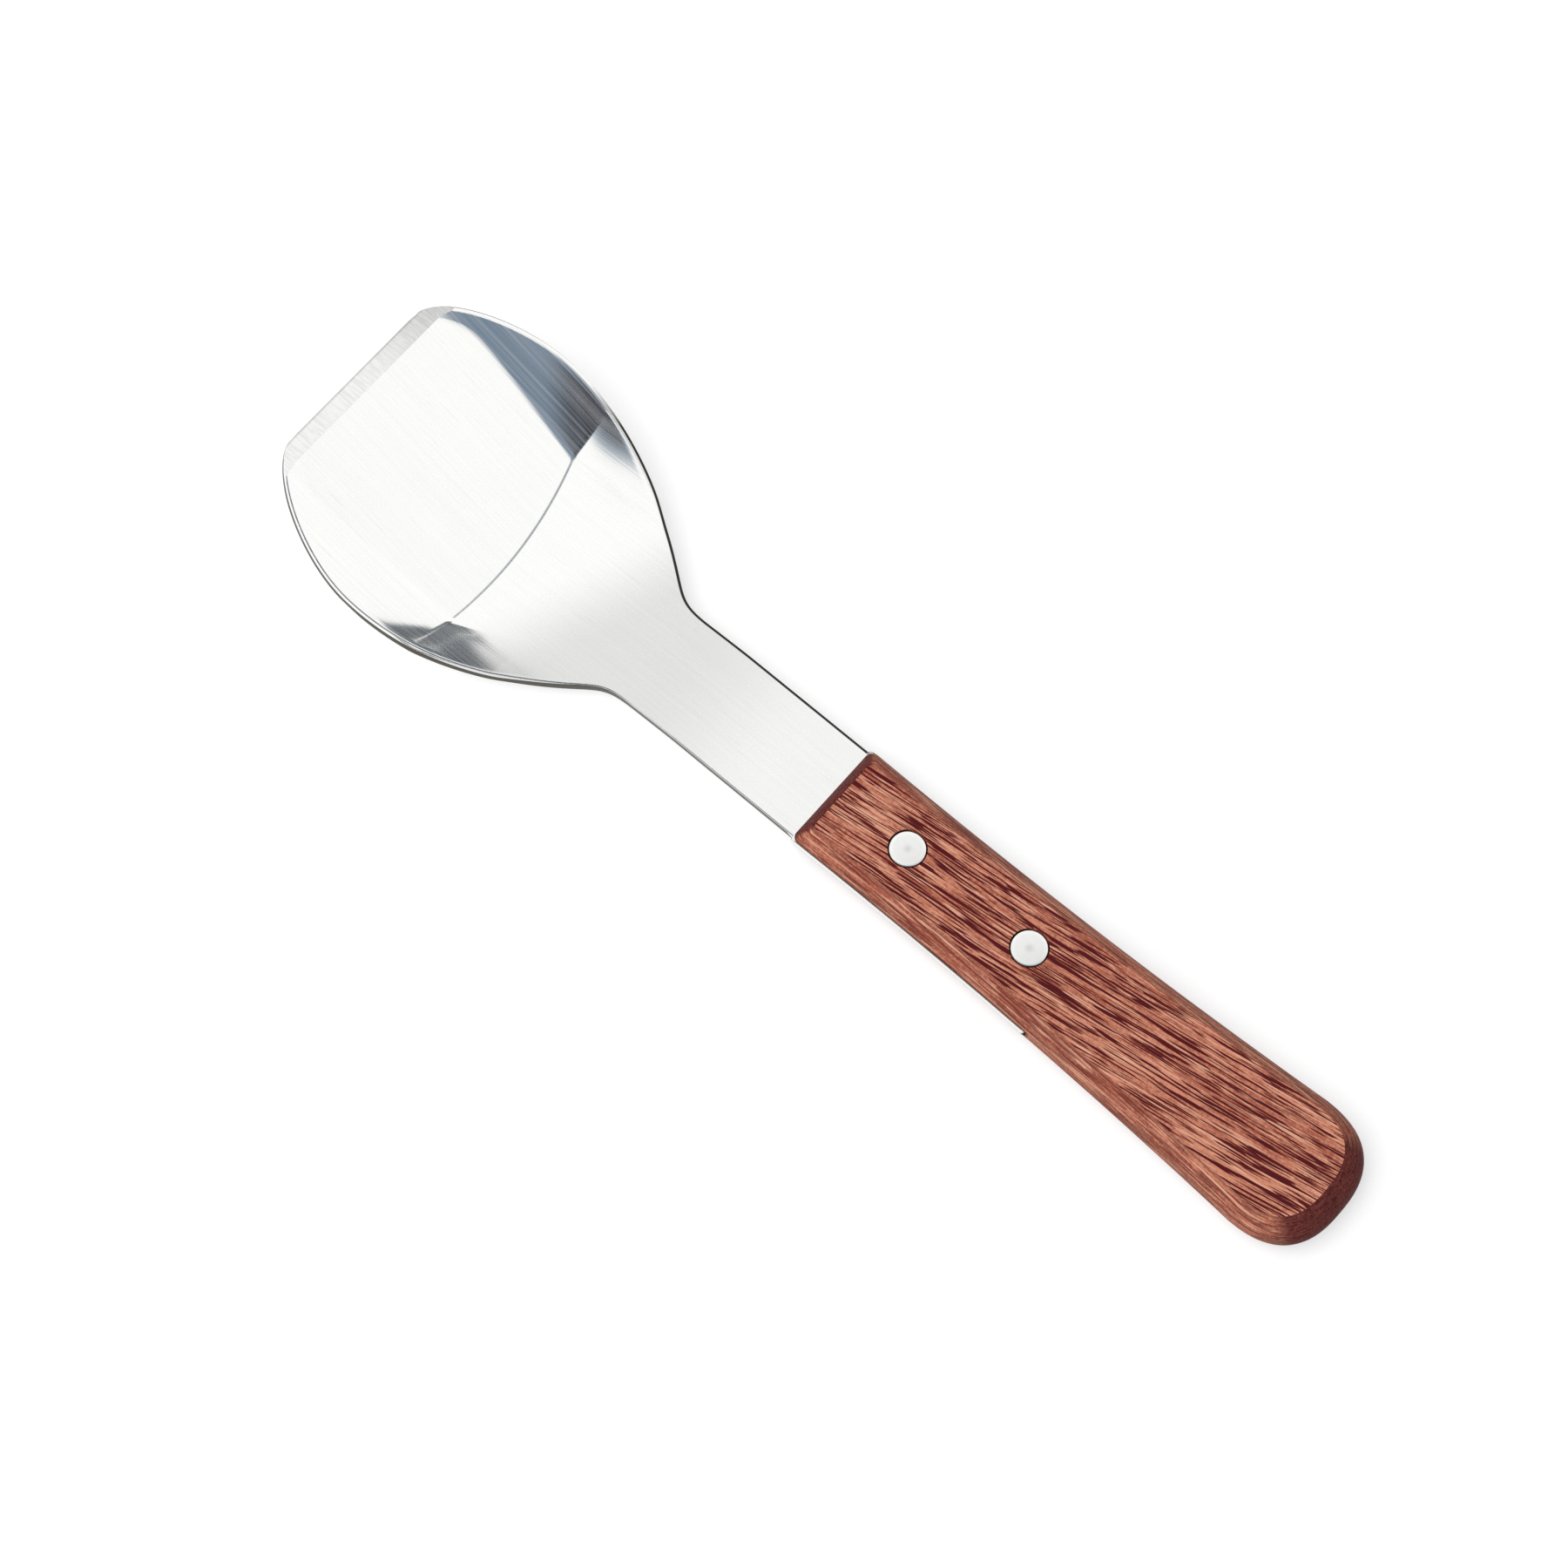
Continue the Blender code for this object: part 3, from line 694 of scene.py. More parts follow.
def add_wood_grain(tree, place, length, flank, tilt):
    """Each point's place in the grain, which tilts, bends and sways, and runs level on a flank."""
    inputs = {"Vector": place, "Rotation": (0.0, 0.0, -tilt)}
    along = add_node(tree, "ShaderNodeMapping", inputs).outputs[0]
    bend = joined(tree, 0.0, times(tree, length, length, -GRAIN_BEND), 0.0)
    along = add_vector_math(tree, "ADD", along, bend)
    inputs = {"Vector": along, "Scale": GRAIN_WAVES, "Detail": 2.0}
    waves = add_node(tree, "ShaderNodeTexNoise", inputs).outputs[1]
    sway = add_vector_math(tree, "MULTIPLY_ADD", waves, GRAIN_SWAY, GRAIN_CENTRED)
    inputs = {"Vector": place, "Scale": FLANK_SCALE, "Location": FLANK_OFFSET}
    level = add_node(tree, "ShaderNodeMapping", inputs).outputs[0]
    return add_blend(tree, flank, add_vector_math(tree, "ADD", along, sway), level)


def add_streaks(tree, place, scales, limits, start):
    """Thin streaks along the grain, where the stretched noise is at its highest."""
    grain = add_grain(tree, place, scales, *PORE_GRAIN, start)
    return add_range(tree, grain, limits, smooth=True)


def satin_rivet_steel(settings):
    """Satin steel with small marks, a bright rim and a dimmer middle where the punch struck."""
    material, tree, shader, place = new_material("satin_rivet_steel")
    specks = add_grain(tree, place, *RIVET_MARKS)
    out = add_mark(tree, "from_axis")
    shades = (linear_colour(settings.satin_colour, shade) for shade in RIVET_SHADES)
    soft, worn, struck, bright = shades
    colour = add_blend(tree, add_range(tree, specks, RIVET_MARK_LEVELS), soft, worn)
    middle = add_range(tree, out, RIVET_STRUCK, RIVET_STRUCK_SHARES, True)
    colour = add_blend(tree, middle, colour, struck)
    colour = add_blend(tree, add_range(tree, out, RIVET_BRIGHT), colour, bright)
    rough = add_range(tree, specks, NOISE_SPAN, RIVET_ROUGHNESS)
    fill_inputs(tree, shader, {"Base Color": colour, "Metallic": 1.0, "Roughness": rough})
    add_bump(tree, shader, specks, RIVET_BUMP, RIVET_BUMP_HEIGHT)
    return material


def pale_floor(settings):
    """A faint mottle, lifted towards white for the eye and the mirrors, and more so far away."""
    material, tree, shader, place = new_material("pale_floor")
    mottle = add_grain(tree, place, *FLOOR_MOTTLE)
    light = linear_colour(settings.floor_colour)
    dark = linear_colour(settings.floor_colour, FLOOR_SHADE)
    path = add_node(tree, "ShaderNodeLightPath").outputs
    seen = add_math(tree, "MAXIMUM", path["Is Camera Ray"], path["Is Glossy Ray"])
    seen = add_math(tree, "MAXIMUM", seen, path["Is Transmission Ray"])
    away = add_vector_math(tree, "LENGTH", place, output="Value")
    lift = add_range(tree, away, FAR_FLOOR, (0.0, FAR_FLOOR_LIFT), True)
    lift = times(tree, seen, plus(tree, lift, settings.floor_lift))
    inputs = {
        "Base Color": add_blend(tree, mottle, dark, light),
        "Roughness": FLOOR_ROUGHNESS,
        "Specular IOR Level": 0.0,
        "Emission Color": WHITE,
        "Emission Strength": lift,
    }
    fill_inputs(tree, shader, inputs)
    return material


# Shape rules


def curve_points(start, start_handle, end_handle, end, steps):
    """Points of a cubic curve in one plane, its start included and its end left out."""
    corners = [Vector((*point, 0.0)) for point in (start, start_handle, end_handle, end)]
    return [(point.x, point.y) for point in interpolate_bezier(*corners, steps + 1)[:-1]]


def curve_value(points, place):
    """The height at this place of a row of (place, height) points in rising order."""
    for (left, low), (right, high) in zip(points, points[1:]):
        if place <= right:
            share = max(0.0, (place - left) / (right - left))
            return low + (high - low) * share
    return points[-1][1]


def handle_half_width(x):
    """Half the handle's width at its widest level: a parabola about the waist."""
    share = (x - WAIST_FROM_FRONT) / (BUTT_FROM_FRONT - WAIST_FROM_FRONT)
    return WAIST_WIDTH / 2 + (BUTT_WIDTH - WAIST_WIDTH) / 2 * share**2


def head_outline():
    """(x, half width) from the leading edge to the neck: three curves that meet smoothly."""
    edge = (EDGE_X, EDGE_WIDTH / 2)
    widest = (WIDEST_X, HEAD_WIDTH / 2)
    flank = (NECK_X - FLANK_FROM_NECK, FLANK_WIDTH / 2)
    neck = (NECK_X, SHANK_WIDTH / 2)
    slope = math.tan(FLANK_ANGLE)
    below = (flank[1] - neck[1]) / slope * FLANK_PULL_TO_NECK
    points = curve_points(
        edge,
        (edge[0] + CORNER_LEAN, edge[1] + CORNER_REACH),
        (widest[0] - WIDEST_FROM_EDGE * WIDEST_PULL_TO_EDGE, widest[1]),
        widest,
        CURVE_STEPS,
    )
    points += curve_points(
        widest,
        (widest[0] + (flank[0] - widest[0]) * WIDEST_PULL_TO_FLANK, widest[1]),
        (flank[0] - FLANK_REACH, flank[1] + FLANK_REACH * slope),
        flank,
        CURVE_STEPS,
    )
    points += curve_points(
        flank,
        (flank[0] + below, flank[1] - below * slope),
        (neck[0] - NECK_REACH, neck[1]),
        neck,
        CURVE_STEPS,
    )
    return points + [neck]


def tang_outline():
    """(x, half width) from the handle's front to the tang's end: shoulder, flush sides, corner."""
    points = [(0.0, SHANK_WIDTH / 2)]
    shoulder = handle_half_width(TANG_SHOULDER) - SHANK_WIDTH / 2
    for step in range(1, CORNER_STEPS + 1):
        turn = math.pi / 2 * step / CORNER_STEPS
        across = SHANK_WIDTH / 2 + shoulder * math.sin(turn)
        points.append((TANG_SHOULDER * (1 - math.cos(turn)), across))
    last = TANG_LENGTH - TANG_END_CORNER
    for step in range(1, CORNER_STEPS + 1):
        x = TANG_SHOULDER + (last - TANG_SHOULDER) * step / CORNER_STEPS
        points.append((x, handle_half_width(x)))
    for step in range(1, CORNER_STEPS + 1):
        turn = math.pi / 2 * step / CORNER_STEPS
        across = handle_half_width(last) - TANG_END_CORNER * (1 - math.cos(turn))
        points.append((last + TANG_END_CORNER * math.sin(turn), across))
    return points


def floor_line():
    """(x, z) of the upper face along the middle: inclined floor, heel, ramp and flat shank."""
    lead = (EDGE_X, HEEL_Z + HEEL_FROM_EDGE * math.tan(FLOOR_ANGLE))
    heel = (HEEL_X, HEEL_Z)
    ramp_end = (-RAMP_FROM_FRONT, 0.0)
    ramp = curve_points(
        heel,
        (HEEL_X + RAMP_HEEL_REACH, HEEL_Z + RAMP_HEEL_REACH * math.tan(RAMP_HEEL_ANGLE)),
        (ramp_end[0] - RAMP_NECK_REACH, 0.0),
        ramp_end,
        CURVE_STEPS * 2,
    )
    return [lead] + ramp + [ramp_end, (TANG_LENGTH, 0.0)]


def rim_line(floor):
    """(x, z) of the upper face along the head's outline, which rises from the neck to the edge."""
    neck_z = curve_value(floor, NECK_X)
    return curve_points(
        (EDGE_X, floor[0][1]),
        (EDGE_X + RIM_LIFT_FROM_EDGE, RIM_LIFT_HEIGHT),
        (NECK_X - RIM_REACH_FROM_NECK, neck_z - RIM_DIP),
        (NECK_X, neck_z),
        CURVE_STEPS * 2,
    ) + [(NECK_X, neck_z)]


def foot_half_width(x, half_width):
    """How far from the middle the side wall starts, at a row whose outline lies at half_width."""
    stations = [
        (EDGE_X, FOOT_WIDTH_AT_EDGE / 2),
        (HEEL_X, FOOT_WIDTH_AT_HEEL / 2),
        (NECK_X, FOOT_WIDTH_AT_NECK / 2),
    ]
    line = curve_value(stations, x)
    limit = half_width - WALL_LEAST_WIDTH
    return (line + limit - math.hypot(line - limit, FOOT_BLEND)) / 2


def held_share(value):
    return min(1.0, max(0.0, value))


def wall_share(x, share):
    """The share of the wall's rise at this share of its width: a sharp foot on the floor alone."""
    behind = (x - HEEL_X) / (NECK_X - HEEL_X)
    sharpness = WALL_FOOT_SHARPNESS * (1 - held_share(behind))
    return sharpness * share + (1 - sharpness) * share**2


def heel_shift(x, across):
    """How far the row through x moves forward at this place across the head."""
    strength = curve_value([(EDGE_X, 0.0), (HEEL_X, 1.0), (NECK_X, 0.0)], x)
    foot = FOOT_WIDTH_AT_HEEL / 2
    clamped = max(-foot, min(foot, across))
    return strength * (clamped - HEEL_ARC_OFFSET) ** 2 / (2 * HEEL_ARC_RADIUS)


def across_places(foot, half_width, level):
    """(place, share of the wall) from the middle to the rim, whose lip is level to this share."""
    places = [(foot * step / FLOOR_STEPS, 0.0) for step in range(FLOOR_STEPS)]
    inner = half_width - foot - LIP_WIDTH
    sloping = inner / (half_width - foot)
    top = sloping + (1 - sloping) * level
    for step in range(WALL_STEPS + 1):
        across = (inner - LIP_ROUND) * step / WALL_STEPS
        places.append((foot + across, top * across / inner))
    begun = top + (1 - top) * LIP_ROUND / LIP_WIDTH
    return places + [(foot + inner + LIP_ROUND, begun), (half_width, 1.0)]


def head_row(x, outline, floor, rim):
    """The points of one row across the head, from one rim over the floor to the other."""
    row = []
    for side in (-1, 1):
        rim_x = x - heel_shift(x, side * HEAD_WIDTH)
        half_width = curve_value(outline, rim_x)
        foot = foot_half_width(x, half_width)
        foot_z = curve_value(floor, x) + heel_shift(x, side * foot) * math.tan(FLOOR_ANGLE)
        wall = max(0.0, curve_value(rim, rim_x) - foot_z)
        points = []
        for across, share in across_places(foot, half_width, LIP_LEVEL[side]):
            forward = heel_shift(x, side * across)
            rise = forward * math.tan(FLOOR_ANGLE) + wall * wall_share(x, share)
            points.append((x - forward, side * across, curve_value(floor, x) + rise))
        row += reversed(points) if side < 0 else points[1:]
    return row


def flat_row(x, half_width):
    """The points of one row across the flat shank or the tang, as many as the head's rows have."""
    foot = half_width - WALL_LEAST_WIDTH
    places = [across for across, share in across_places(foot, half_width, 0.0)]
    across = [-place for place in reversed(places)] + places[1:]
    return [(x, y, 0.0) for y in across]


def sheet_rows():
    """The sheet's upper face: one row of points for each station along it."""
    floor = floor_line()
    rim = rim_line(floor)
    outline = head_outline()
    heel = [HEEL_X - CREASE_ROUND, HEEL_X, HEEL_X + CREASE_ROUND]
    stations = [x for x, half_width in outline if abs(x - HEEL_X) > 2 * CREASE_ROUND]
    stations = sorted(stations + heel)
    rows = [head_row(x, outline, floor, rim) for x in stations]
    for step in range(1, CURVE_STEPS + 1):
        x = NECK_X + (-RAMP_FROM_FRONT - NECK_X) * step / CURVE_STEPS
        z = curve_value(floor, x)
        rows.append([(x, y, z) for _, y, _ in flat_row(x, SHANK_WIDTH / 2)])
    rows += [flat_row(x, half_width) for x, half_width in tang_outline()]
    return rows


# Making


def link_mesh(name, mesh):
    made = bpy.data.objects.new(name, mesh)
    bpy.context.scene.collection.objects.link(made)
    return made


def mesh_from(name, source):
    mesh = bpy.data.meshes.new(name)
    source.to_mesh(mesh)
    source.free()
    return mesh


def box_cutter(name, size, place, tilt=0.0):
    source = bmesh.new()
    bmesh.ops.create_cube(source, size=1.0)
    bmesh.ops.scale(source, vec=size, verts=source.verts)
    turn = Matrix.Translation(place) @ Matrix.Rotation(tilt, 4, "Y")
    bmesh.ops.transform(source, matrix=turn, verts=source.verts)
    return link_mesh(name, mesh_from(name, source))


def cylinder_cutter(name, diameter, bottom, top, x):
    source = bmesh.new()
    bmesh.ops.create_cone(
        source,
        cap_ends=True,
        segments=CIRCLE_STEPS,
        radius1=diameter / 2,
        radius2=diameter / 2,
        depth=top - bottom,
        matrix=Matrix.Translation((x, 0.0, (top + bottom) / 2)),
    )
    return link_mesh(name, mesh_from(name, source))


def cut(target, cutter):
    boolean = target.modifiers.new(cutter.name, "BOOLEAN")
    boolean.operation = "DIFFERENCE"
    boolean.solver = "EXACT"
    boolean.object = cutter


def finish_mesh(rough, cutters, name):
    """A plain mesh of the rough object with its modifiers done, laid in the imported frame."""
    graph = bpy.context.evaluated_depsgraph_get()
    mesh = bpy.data.meshes.new_from_object(rough.evaluated_get(graph), depsgraph=graph)
    mesh.name = name
    for spent in [rough] + cutters:
        spent_mesh = spent.data
        bpy.data.objects.remove(spent, do_unlink=True)
        bpy.data.meshes.remove(spent_mesh)
    mesh.transform(TO_FRAME)
    return link_mesh(name, mesh)


def ground_edge():
    """Where the ground plane starts on the floor, and its slope."""
    grind = math.atan2(SHEET - BEVEL_EDGE, BEVEL_LENGTH)
    inner_x = EDGE_X + BEVEL_LENGTH * math.cos(FLOOR_ANGLE)
    inner_z = HEEL_Z + (HEEL_X - inner_x) * math.tan(FLOOR_ANGLE)
    return inner_x, inner_z, FLOOR_ANGLE - grind


def make_blade(settings):
    source = bmesh.new()
    rows = sheet_rows()
    lines = [[source.verts.new(point) for point in row] for row in rows]
    for line, following in zip(lines, lines[1:]):
        for index in range(len(line) - 1):
            corners = line[index], following[index], following[index + 1], line[index + 1]
            source.faces.new(corners)
    bmesh.ops.recalc_face_normals(source, faces=source.faces)
    if sum(face.normal.z for face in source.faces) < 0:
        bmesh.ops.reverse_faces(source, faces=source.faces)
    upper_face = BVHTree.FromBMesh(source)
    rough = link_mesh("sheet", mesh_from("sheet", source))
    thicken = rough.modifiers.new("thickness", "SOLIDIFY")
    thicken.thickness = SHEET
    thicken.offset = -1.0
    thicken.use_even_offset = True
    soften = rough.modifiers.new("softened_edges", "BEVEL")
    soften.width = settings.rim_round
    soften.segments = ROUND_STEPS
    soften.limit_method = "ANGLE"
    soften.angle_limit = BLADE_ROUND_ANGLE
    soften.use_clamp_overlap = False
    inner_x, inner_z, slope = ground_edge()
    height = SHEET * GRINDER_OVERREACH
    middle_x = inner_x + height / 2 * math.sin(slope)
    place = (middle_x, 0.0, inner_z + height / 2 * math.cos(slope))
    size = (BEVEL_LENGTH * GRINDER_OVERREACH, HEAD_WIDTH, height)
    cutters = [box_cutter("grinder", size, place, slope)]
    hole = BARREL_DIAMETER + 2 * FIT_GAP
    for x in RIVET_XS:
        cutters.append(cylinder_cutter("drill", hole, -2 * SHEET, SHEET, x))
    for cutter in cutters:
        cut(rough, cutter)
    blade = finish_mesh(rough, cutters, "steel_blade")
    mesh = blade.data
    mesh.materials.clear()
    mesh.materials.append(brushed_steel(settings))
    mesh.materials.append(ground_steel(settings))
    ground = Vector((math.sin(slope), 0.0, math.cos(slope)))
    for face in mesh.polygons:
        on_edge = face.center.x < TO_FRAME.translation.x + inner_x
        face.material_index = 1 if on_edge and face.normal.dot(ground) > NEARLY_ONE else 0
    mesh.shade_smooth()
    mesh.set_sharp_from_angle(angle=BLADE_SHARP_ANGLE)
    bevel = [face for face in mesh.polygons if face.material_index == 1]
    ground_keys = {key for face in bevel for key in face.edge_keys}
    for edge in mesh.edges:
        if edge.key in ground_keys:
            edge.use_edge_sharp = True
    mark_edges(mesh, upper_face, rows)
    mark_brushing(mesh, upper_face, rows)
    return blade


def rim_ribbon(rows):
    """An upright ribbon along the sheet's outline, for measuring how far inside it a point lies."""
    outline = rows[0] + [row[-1] for row in rows] + rows[-1][::-1] + [row[0] for row in rows[::-1]]
    ends = [(x, y, z + rise) for x, y, z in outline for rise in (-RIBBON_REACH, RIBBON_REACH)]
    faces = [(at, at + 1, at + 3, at + 2) for at in range(0, len(ends) - 2, 2)]
    return BVHTree.FromPolygons(ends, faces)


def store_marks(mesh, name, values, domain="POINT"):
    """Stores a number for each point or each face's corner, for a material to read."""
    mesh.attributes.new(name, "FLOAT", domain).data.foreach_set("value", values)


def mark_edges(mesh, upper_face, rows):
    """Stores each point's depth as a share of the sheet, and its distance from the outline."""
    ribbon = rim_ribbon(rows)
    to_tool = TO_FRAME.inverted()
    places = [to_tool @ vertex.co for vertex in mesh.vertices]
    depths = [upper_face.find_nearest(place)[3] / SHEET for place in places]
    store_marks(mesh, "edge_depth", [min(1.0, depth) for depth in depths])
    store_marks(mesh, "from_rim", [ribbon.find_nearest(place)[3] for place in places])


def flat_places(rows):
    """How far from the middle the points of each row lay while the sheet was still flat."""
    places = []
    for row in rows:
        middle = len(row) // 2
        line = [0.0] * len(row)
        for side in (-1, 1):
            for step in range(1, middle + 1):
                at = middle + side * step
                x, y, z = (end - start for start, end in zip(row[at - side], row[at]))
                line[at] = line[at - side] + side * math.hypot(y, z + x * math.tan(FLOOR_ANGLE))
        places.append(line)
    return places


def mark_brushing(mesh, upper_face, rows):
    """Stores each point's place across the sheet, from when it was brushed flat."""
    to_tool = TO_FRAME.inverted()
    places = flat_places(rows)
    across = []
    for vertex in mesh.vertices:
        nearest, _, face, _ = upper_face.find_nearest(to_tool @ vertex.co)
        at, column = divmod(face, len(rows[0]) - 1)
        found = []
        for row, line in zip(rows[at : at + 2], places[at : at + 2]):
            share = (nearest.y - row[column][1]) / (row[column + 1][1] - row[column][1])
            found.append(line[column] + (line[column + 1] - line[column]) * share)
        start = rows[at][column][0]
        share = (nearest.x - start) / (rows[at + 1][column][0] - start)
        across.append(found[0] + (found[1] - found[0]) * share)
    store_marks(mesh, "across", across)


def new_rule(name, sizes, shape=""):
    """A geometry rule and its inputs: a shape where it is given one, its sizes and its material."""
    tree = bpy.data.node_groups.new(name, "GeometryNodeTree")
    face = tree.interface
    if shape:
        face.new_socket(shape, in_out="INPUT", socket_type="NodeSocketGeometry")
    for size, value in sizes:
        kind = "NodeSocketInt" if isinstance(value, int) else "NodeSocketFloat"
        face.new_socket(size, in_out="INPUT", socket_type=kind).default_value = value
    face.new_socket("Material", in_out="INPUT", socket_type="NodeSocketMaterial")
    face.new_socket("Geometry", in_out="OUTPUT", socket_type="NodeSocketGeometry")
    return tree, add_node(tree, "NodeGroupInput").outputs


def end_rule(tree, given, geometry):
    """Hands out the geometry, in the material that the rule was given."""
    realized = add_node(tree, "GeometryNodeRealizeInstances", {0: geometry}).outputs[0]
    inputs = {"Geometry": realized, "Material": given["Material"]}
    dressed = add_node(tree, "GeometryNodeSetMaterial", inputs).outputs[0]
    add_node(tree, "NodeGroupOutput", {"Geometry": dressed})
    return tree


def add_handle_rule():
    """The handle's body as a rule: rings of one outline, drawn in by a round towards each face."""
    sizes = (
        ("Length", HANDLE_LENGTH),
        ("Thickness", HANDLE_THICKNESS),
        ("Waist Width", WAIST_WIDTH),
        ("Waist Place", WAIST_FROM_FRONT),
        ("Butt Width", BUTT_WIDTH),
        ("Butt Place", BUTT_FROM_FRONT),
        ("Butt Squareness", BUTT_SQUARENESS),
        ("Front Corner", HANDLE_CORNER),
        ("Side Round", SIDE_ROUND),
        ("Front Round", FRONT_ROUND),
        ("Butt Round", BUTT_ROUND),
        ("Middle Height", MIDDLE_Z),
        ("Corner Steps", 8),
        ("Side Steps", 48),
        ("End Steps", 48),
        ("Levels", 28),
    )
    tree, given = new_rule("handle_body", sizes)
    corner_steps = given["Corner Steps"]
    to_side = plus(tree, corner_steps, given["Side Steps"])
    half_count = plus(tree, to_side, given["End Steps"])
    ring_count = plus(tree, times(tree, half_count, 2.0), 1.0)
    whole = add_node(tree, "FunctionNodeFloatToInt", {0: ring_count}).outputs[0]
    inputs = {"Vertices": whole, "Side Segments": given["Levels"], "Radius": 1.0, "Depth": 2.0}
    cylinder = add_node(tree, "GeometryNodeMeshCylinder", inputs, fill_type="NGON")

    # Each point's number on its ring gives its share of the corner, the side and the end
    place = add_node(tree, "GeometryNodeInputPosition").outputs[0]
    ring_x, ring_y, level = split(tree, place)
    turn = add_math(tree, "DIVIDE", add_math(tree, "ARCTAN2", ring_y, ring_x), 2 * math.pi)
    part = add_math(tree, "FRACT", plus(tree, turn, JUST_OVER_ONE))
    index = add_math(tree, "FLOOR", times(tree, part, ring_count))
    back = minus(tree, times(tree, half_count, 2.0), index)
    step = add_math(tree, "MINIMUM", index, back)
    side = add_math(tree, "SIGN", minus(tree, plus(tree, half_count, 0.5), index))
    share_corner = add_range(tree, step, (0.0, corner_steps))
    share_side = add_range(tree, step, (corner_steps, to_side))
    share_end = add_range(tree, step, (to_side, half_count))
    height = times(tree, level, add_math(tree, "DIVIDE", given["Thickness"], 2.0))
    drawn_in = times(tree, level, level)

    def inset(run):
        """How far a side that is rounded by this run has moved in at this height."""
        return times(tree, run, drawn_in)

    def half_width(x):
        run = minus(tree, given["Butt Place"], given["Waist Place"])
        share = add_math(tree, "DIVIDE", minus(tree, x, given["Waist Place"]), run)
        grow = minus(tree, given["Butt Width"], given["Waist Width"])
        grown = times(tree, grow, times(tree, share, share))
        return add_math(tree, "DIVIDE", plus(tree, given["Waist Width"], grown), 2.0)

    power = add_math(tree, "DIVIDE", 2.0, given["Butt Squareness"])

    def squared(function, turn):
        """The sine or cosine of this turn, at the power that squares the butt."""
        size = add_math(tree, "ABSOLUTE", add_math(tree, function, turn))
        return add_math(tree, "POWER", size, power)

    corner = given["Front Corner"]
    corner_x = plus(tree, inset(given["Front Round"]), corner)
    side_run = minus(tree, given["Butt Place"], corner_x)
    side_x = plus(tree, corner_x, times(tree, side_run, share_side))
    corner_turn = times(tree, share_corner, math.pi / 2)
    end_turn = times(tree, share_end, math.pi / 2)
    front = times(tree, corner, add_math(tree, "COSINE", corner_turn))
    reach = minus(tree, given["Length"], inset(given["Butt Round"]))
    reach = minus(tree, reach, given["Butt Place"])
    reached = times(tree, reach, squared("SINE", end_turn))
    x = plus(tree, minus(tree, side_x, front), reached)
    loss = times(tree, corner, minus(tree, 1.0, add_math(tree, "SINE", corner_turn)))
    wide = minus(tree, half_width(side_x), inset(given["Side Round"]))
    closed = add_math(tree, "LESS_THAN", share_end, NEARLY_ONE)
    narrowing = times(tree, squared("COSINE", end_turn), closed)
    y = times(tree, minus(tree, wide, loss), narrowing, side)
    z = plus(tree, height, given["Middle Height"])
    inputs = {"Geometry": cylinder.outputs["Mesh"], "Position": joined(tree, x, y, z)}
    moved = add_node(tree, "GeometryNodeSetPosition", inputs).outputs[0]
    turned = add_node(tree, "GeometryNodeFlipFaces", {"Mesh": moved}).outputs[0]
    return end_rule(tree, given, turned)


def add_turned_rule():
    """A turned piece as a rule: the profile it is given, turned round an upright axis."""
    sizes = (("Axis Place", FRONT_RIVET_FROM_FRONT), ("Turn Steps", CIRCLE_STEPS))
    tree, given = new_rule("turned_piece", sizes, "Profile")
    inputs = {"Geometry": given["Profile"]}
    counted = add_node(tree, "GeometryNodeAttributeDomainSize", inputs)
    points = counted.outputs["Point Count"]
    turns = plus(tree, given["Turn Steps"], 1.0)
    inputs = {"Size X": 1.0, "Size Y": 1.0, "Vertices X": points, "Vertices Y": turns}
    grid = add_node(tree, "GeometryNodeMeshGrid", inputs).outputs["Mesh"]
    place = add_node(tree, "GeometryNodeInputPosition").outputs[0]
    along, around, _ = split(tree, place)
    share = plus(tree, along, 0.5)
    index = add_math(tree, "ROUND", times(tree, share, minus(tree, points, 1.0)))
    inputs = {"Geometry": given["Profile"], "Value": place, "Index": index}
    kinds = {"data_type": "FLOAT_VECTOR", "domain": "POINT"}
    sample = add_node(tree, "GeometryNodeSampleIndex", inputs, **kinds).outputs[0]
    radius, _, height = split(tree, sample)
    turn = times(tree, plus(tree, around, 0.5), 2 * math.pi)
    x = times(tree, radius, add_math(tree, "COSINE", turn))
    x = plus(tree, x, given["Axis Place"])
    y = times(tree, radius, add_math(tree, "SINE", turn))
    inputs = {"Geometry": grid, "Name": "from_axis", "Value": radius}
    marked = add_node(tree, "GeometryNodeStoreNamedAttribute", inputs).outputs[0]
    inputs = {"Geometry": marked, "Position": joined(tree, x, y, height)}
    moved = add_node(tree, "GeometryNodeSetPosition", inputs).outputs[0]
    inputs = {"Geometry": moved, "Distance": MERGE_DISTANCE}
    closed = add_node(tree, "GeometryNodeMergeByDistance", inputs).outputs[0]
    return end_rule(tree, given, closed)


def set_rule(target, tree, values):
    """The tree as a modifier, with its inputs set by their identifiers."""
    rule = target.modifiers.new(tree.name, "NODES")
    rule.node_group = tree
    for item in tree.interface.items_tree:
        if item.item_type == "SOCKET" and item.in_out == "INPUT" and item.name in values:
            rule[item.identifier] = values[item.name]


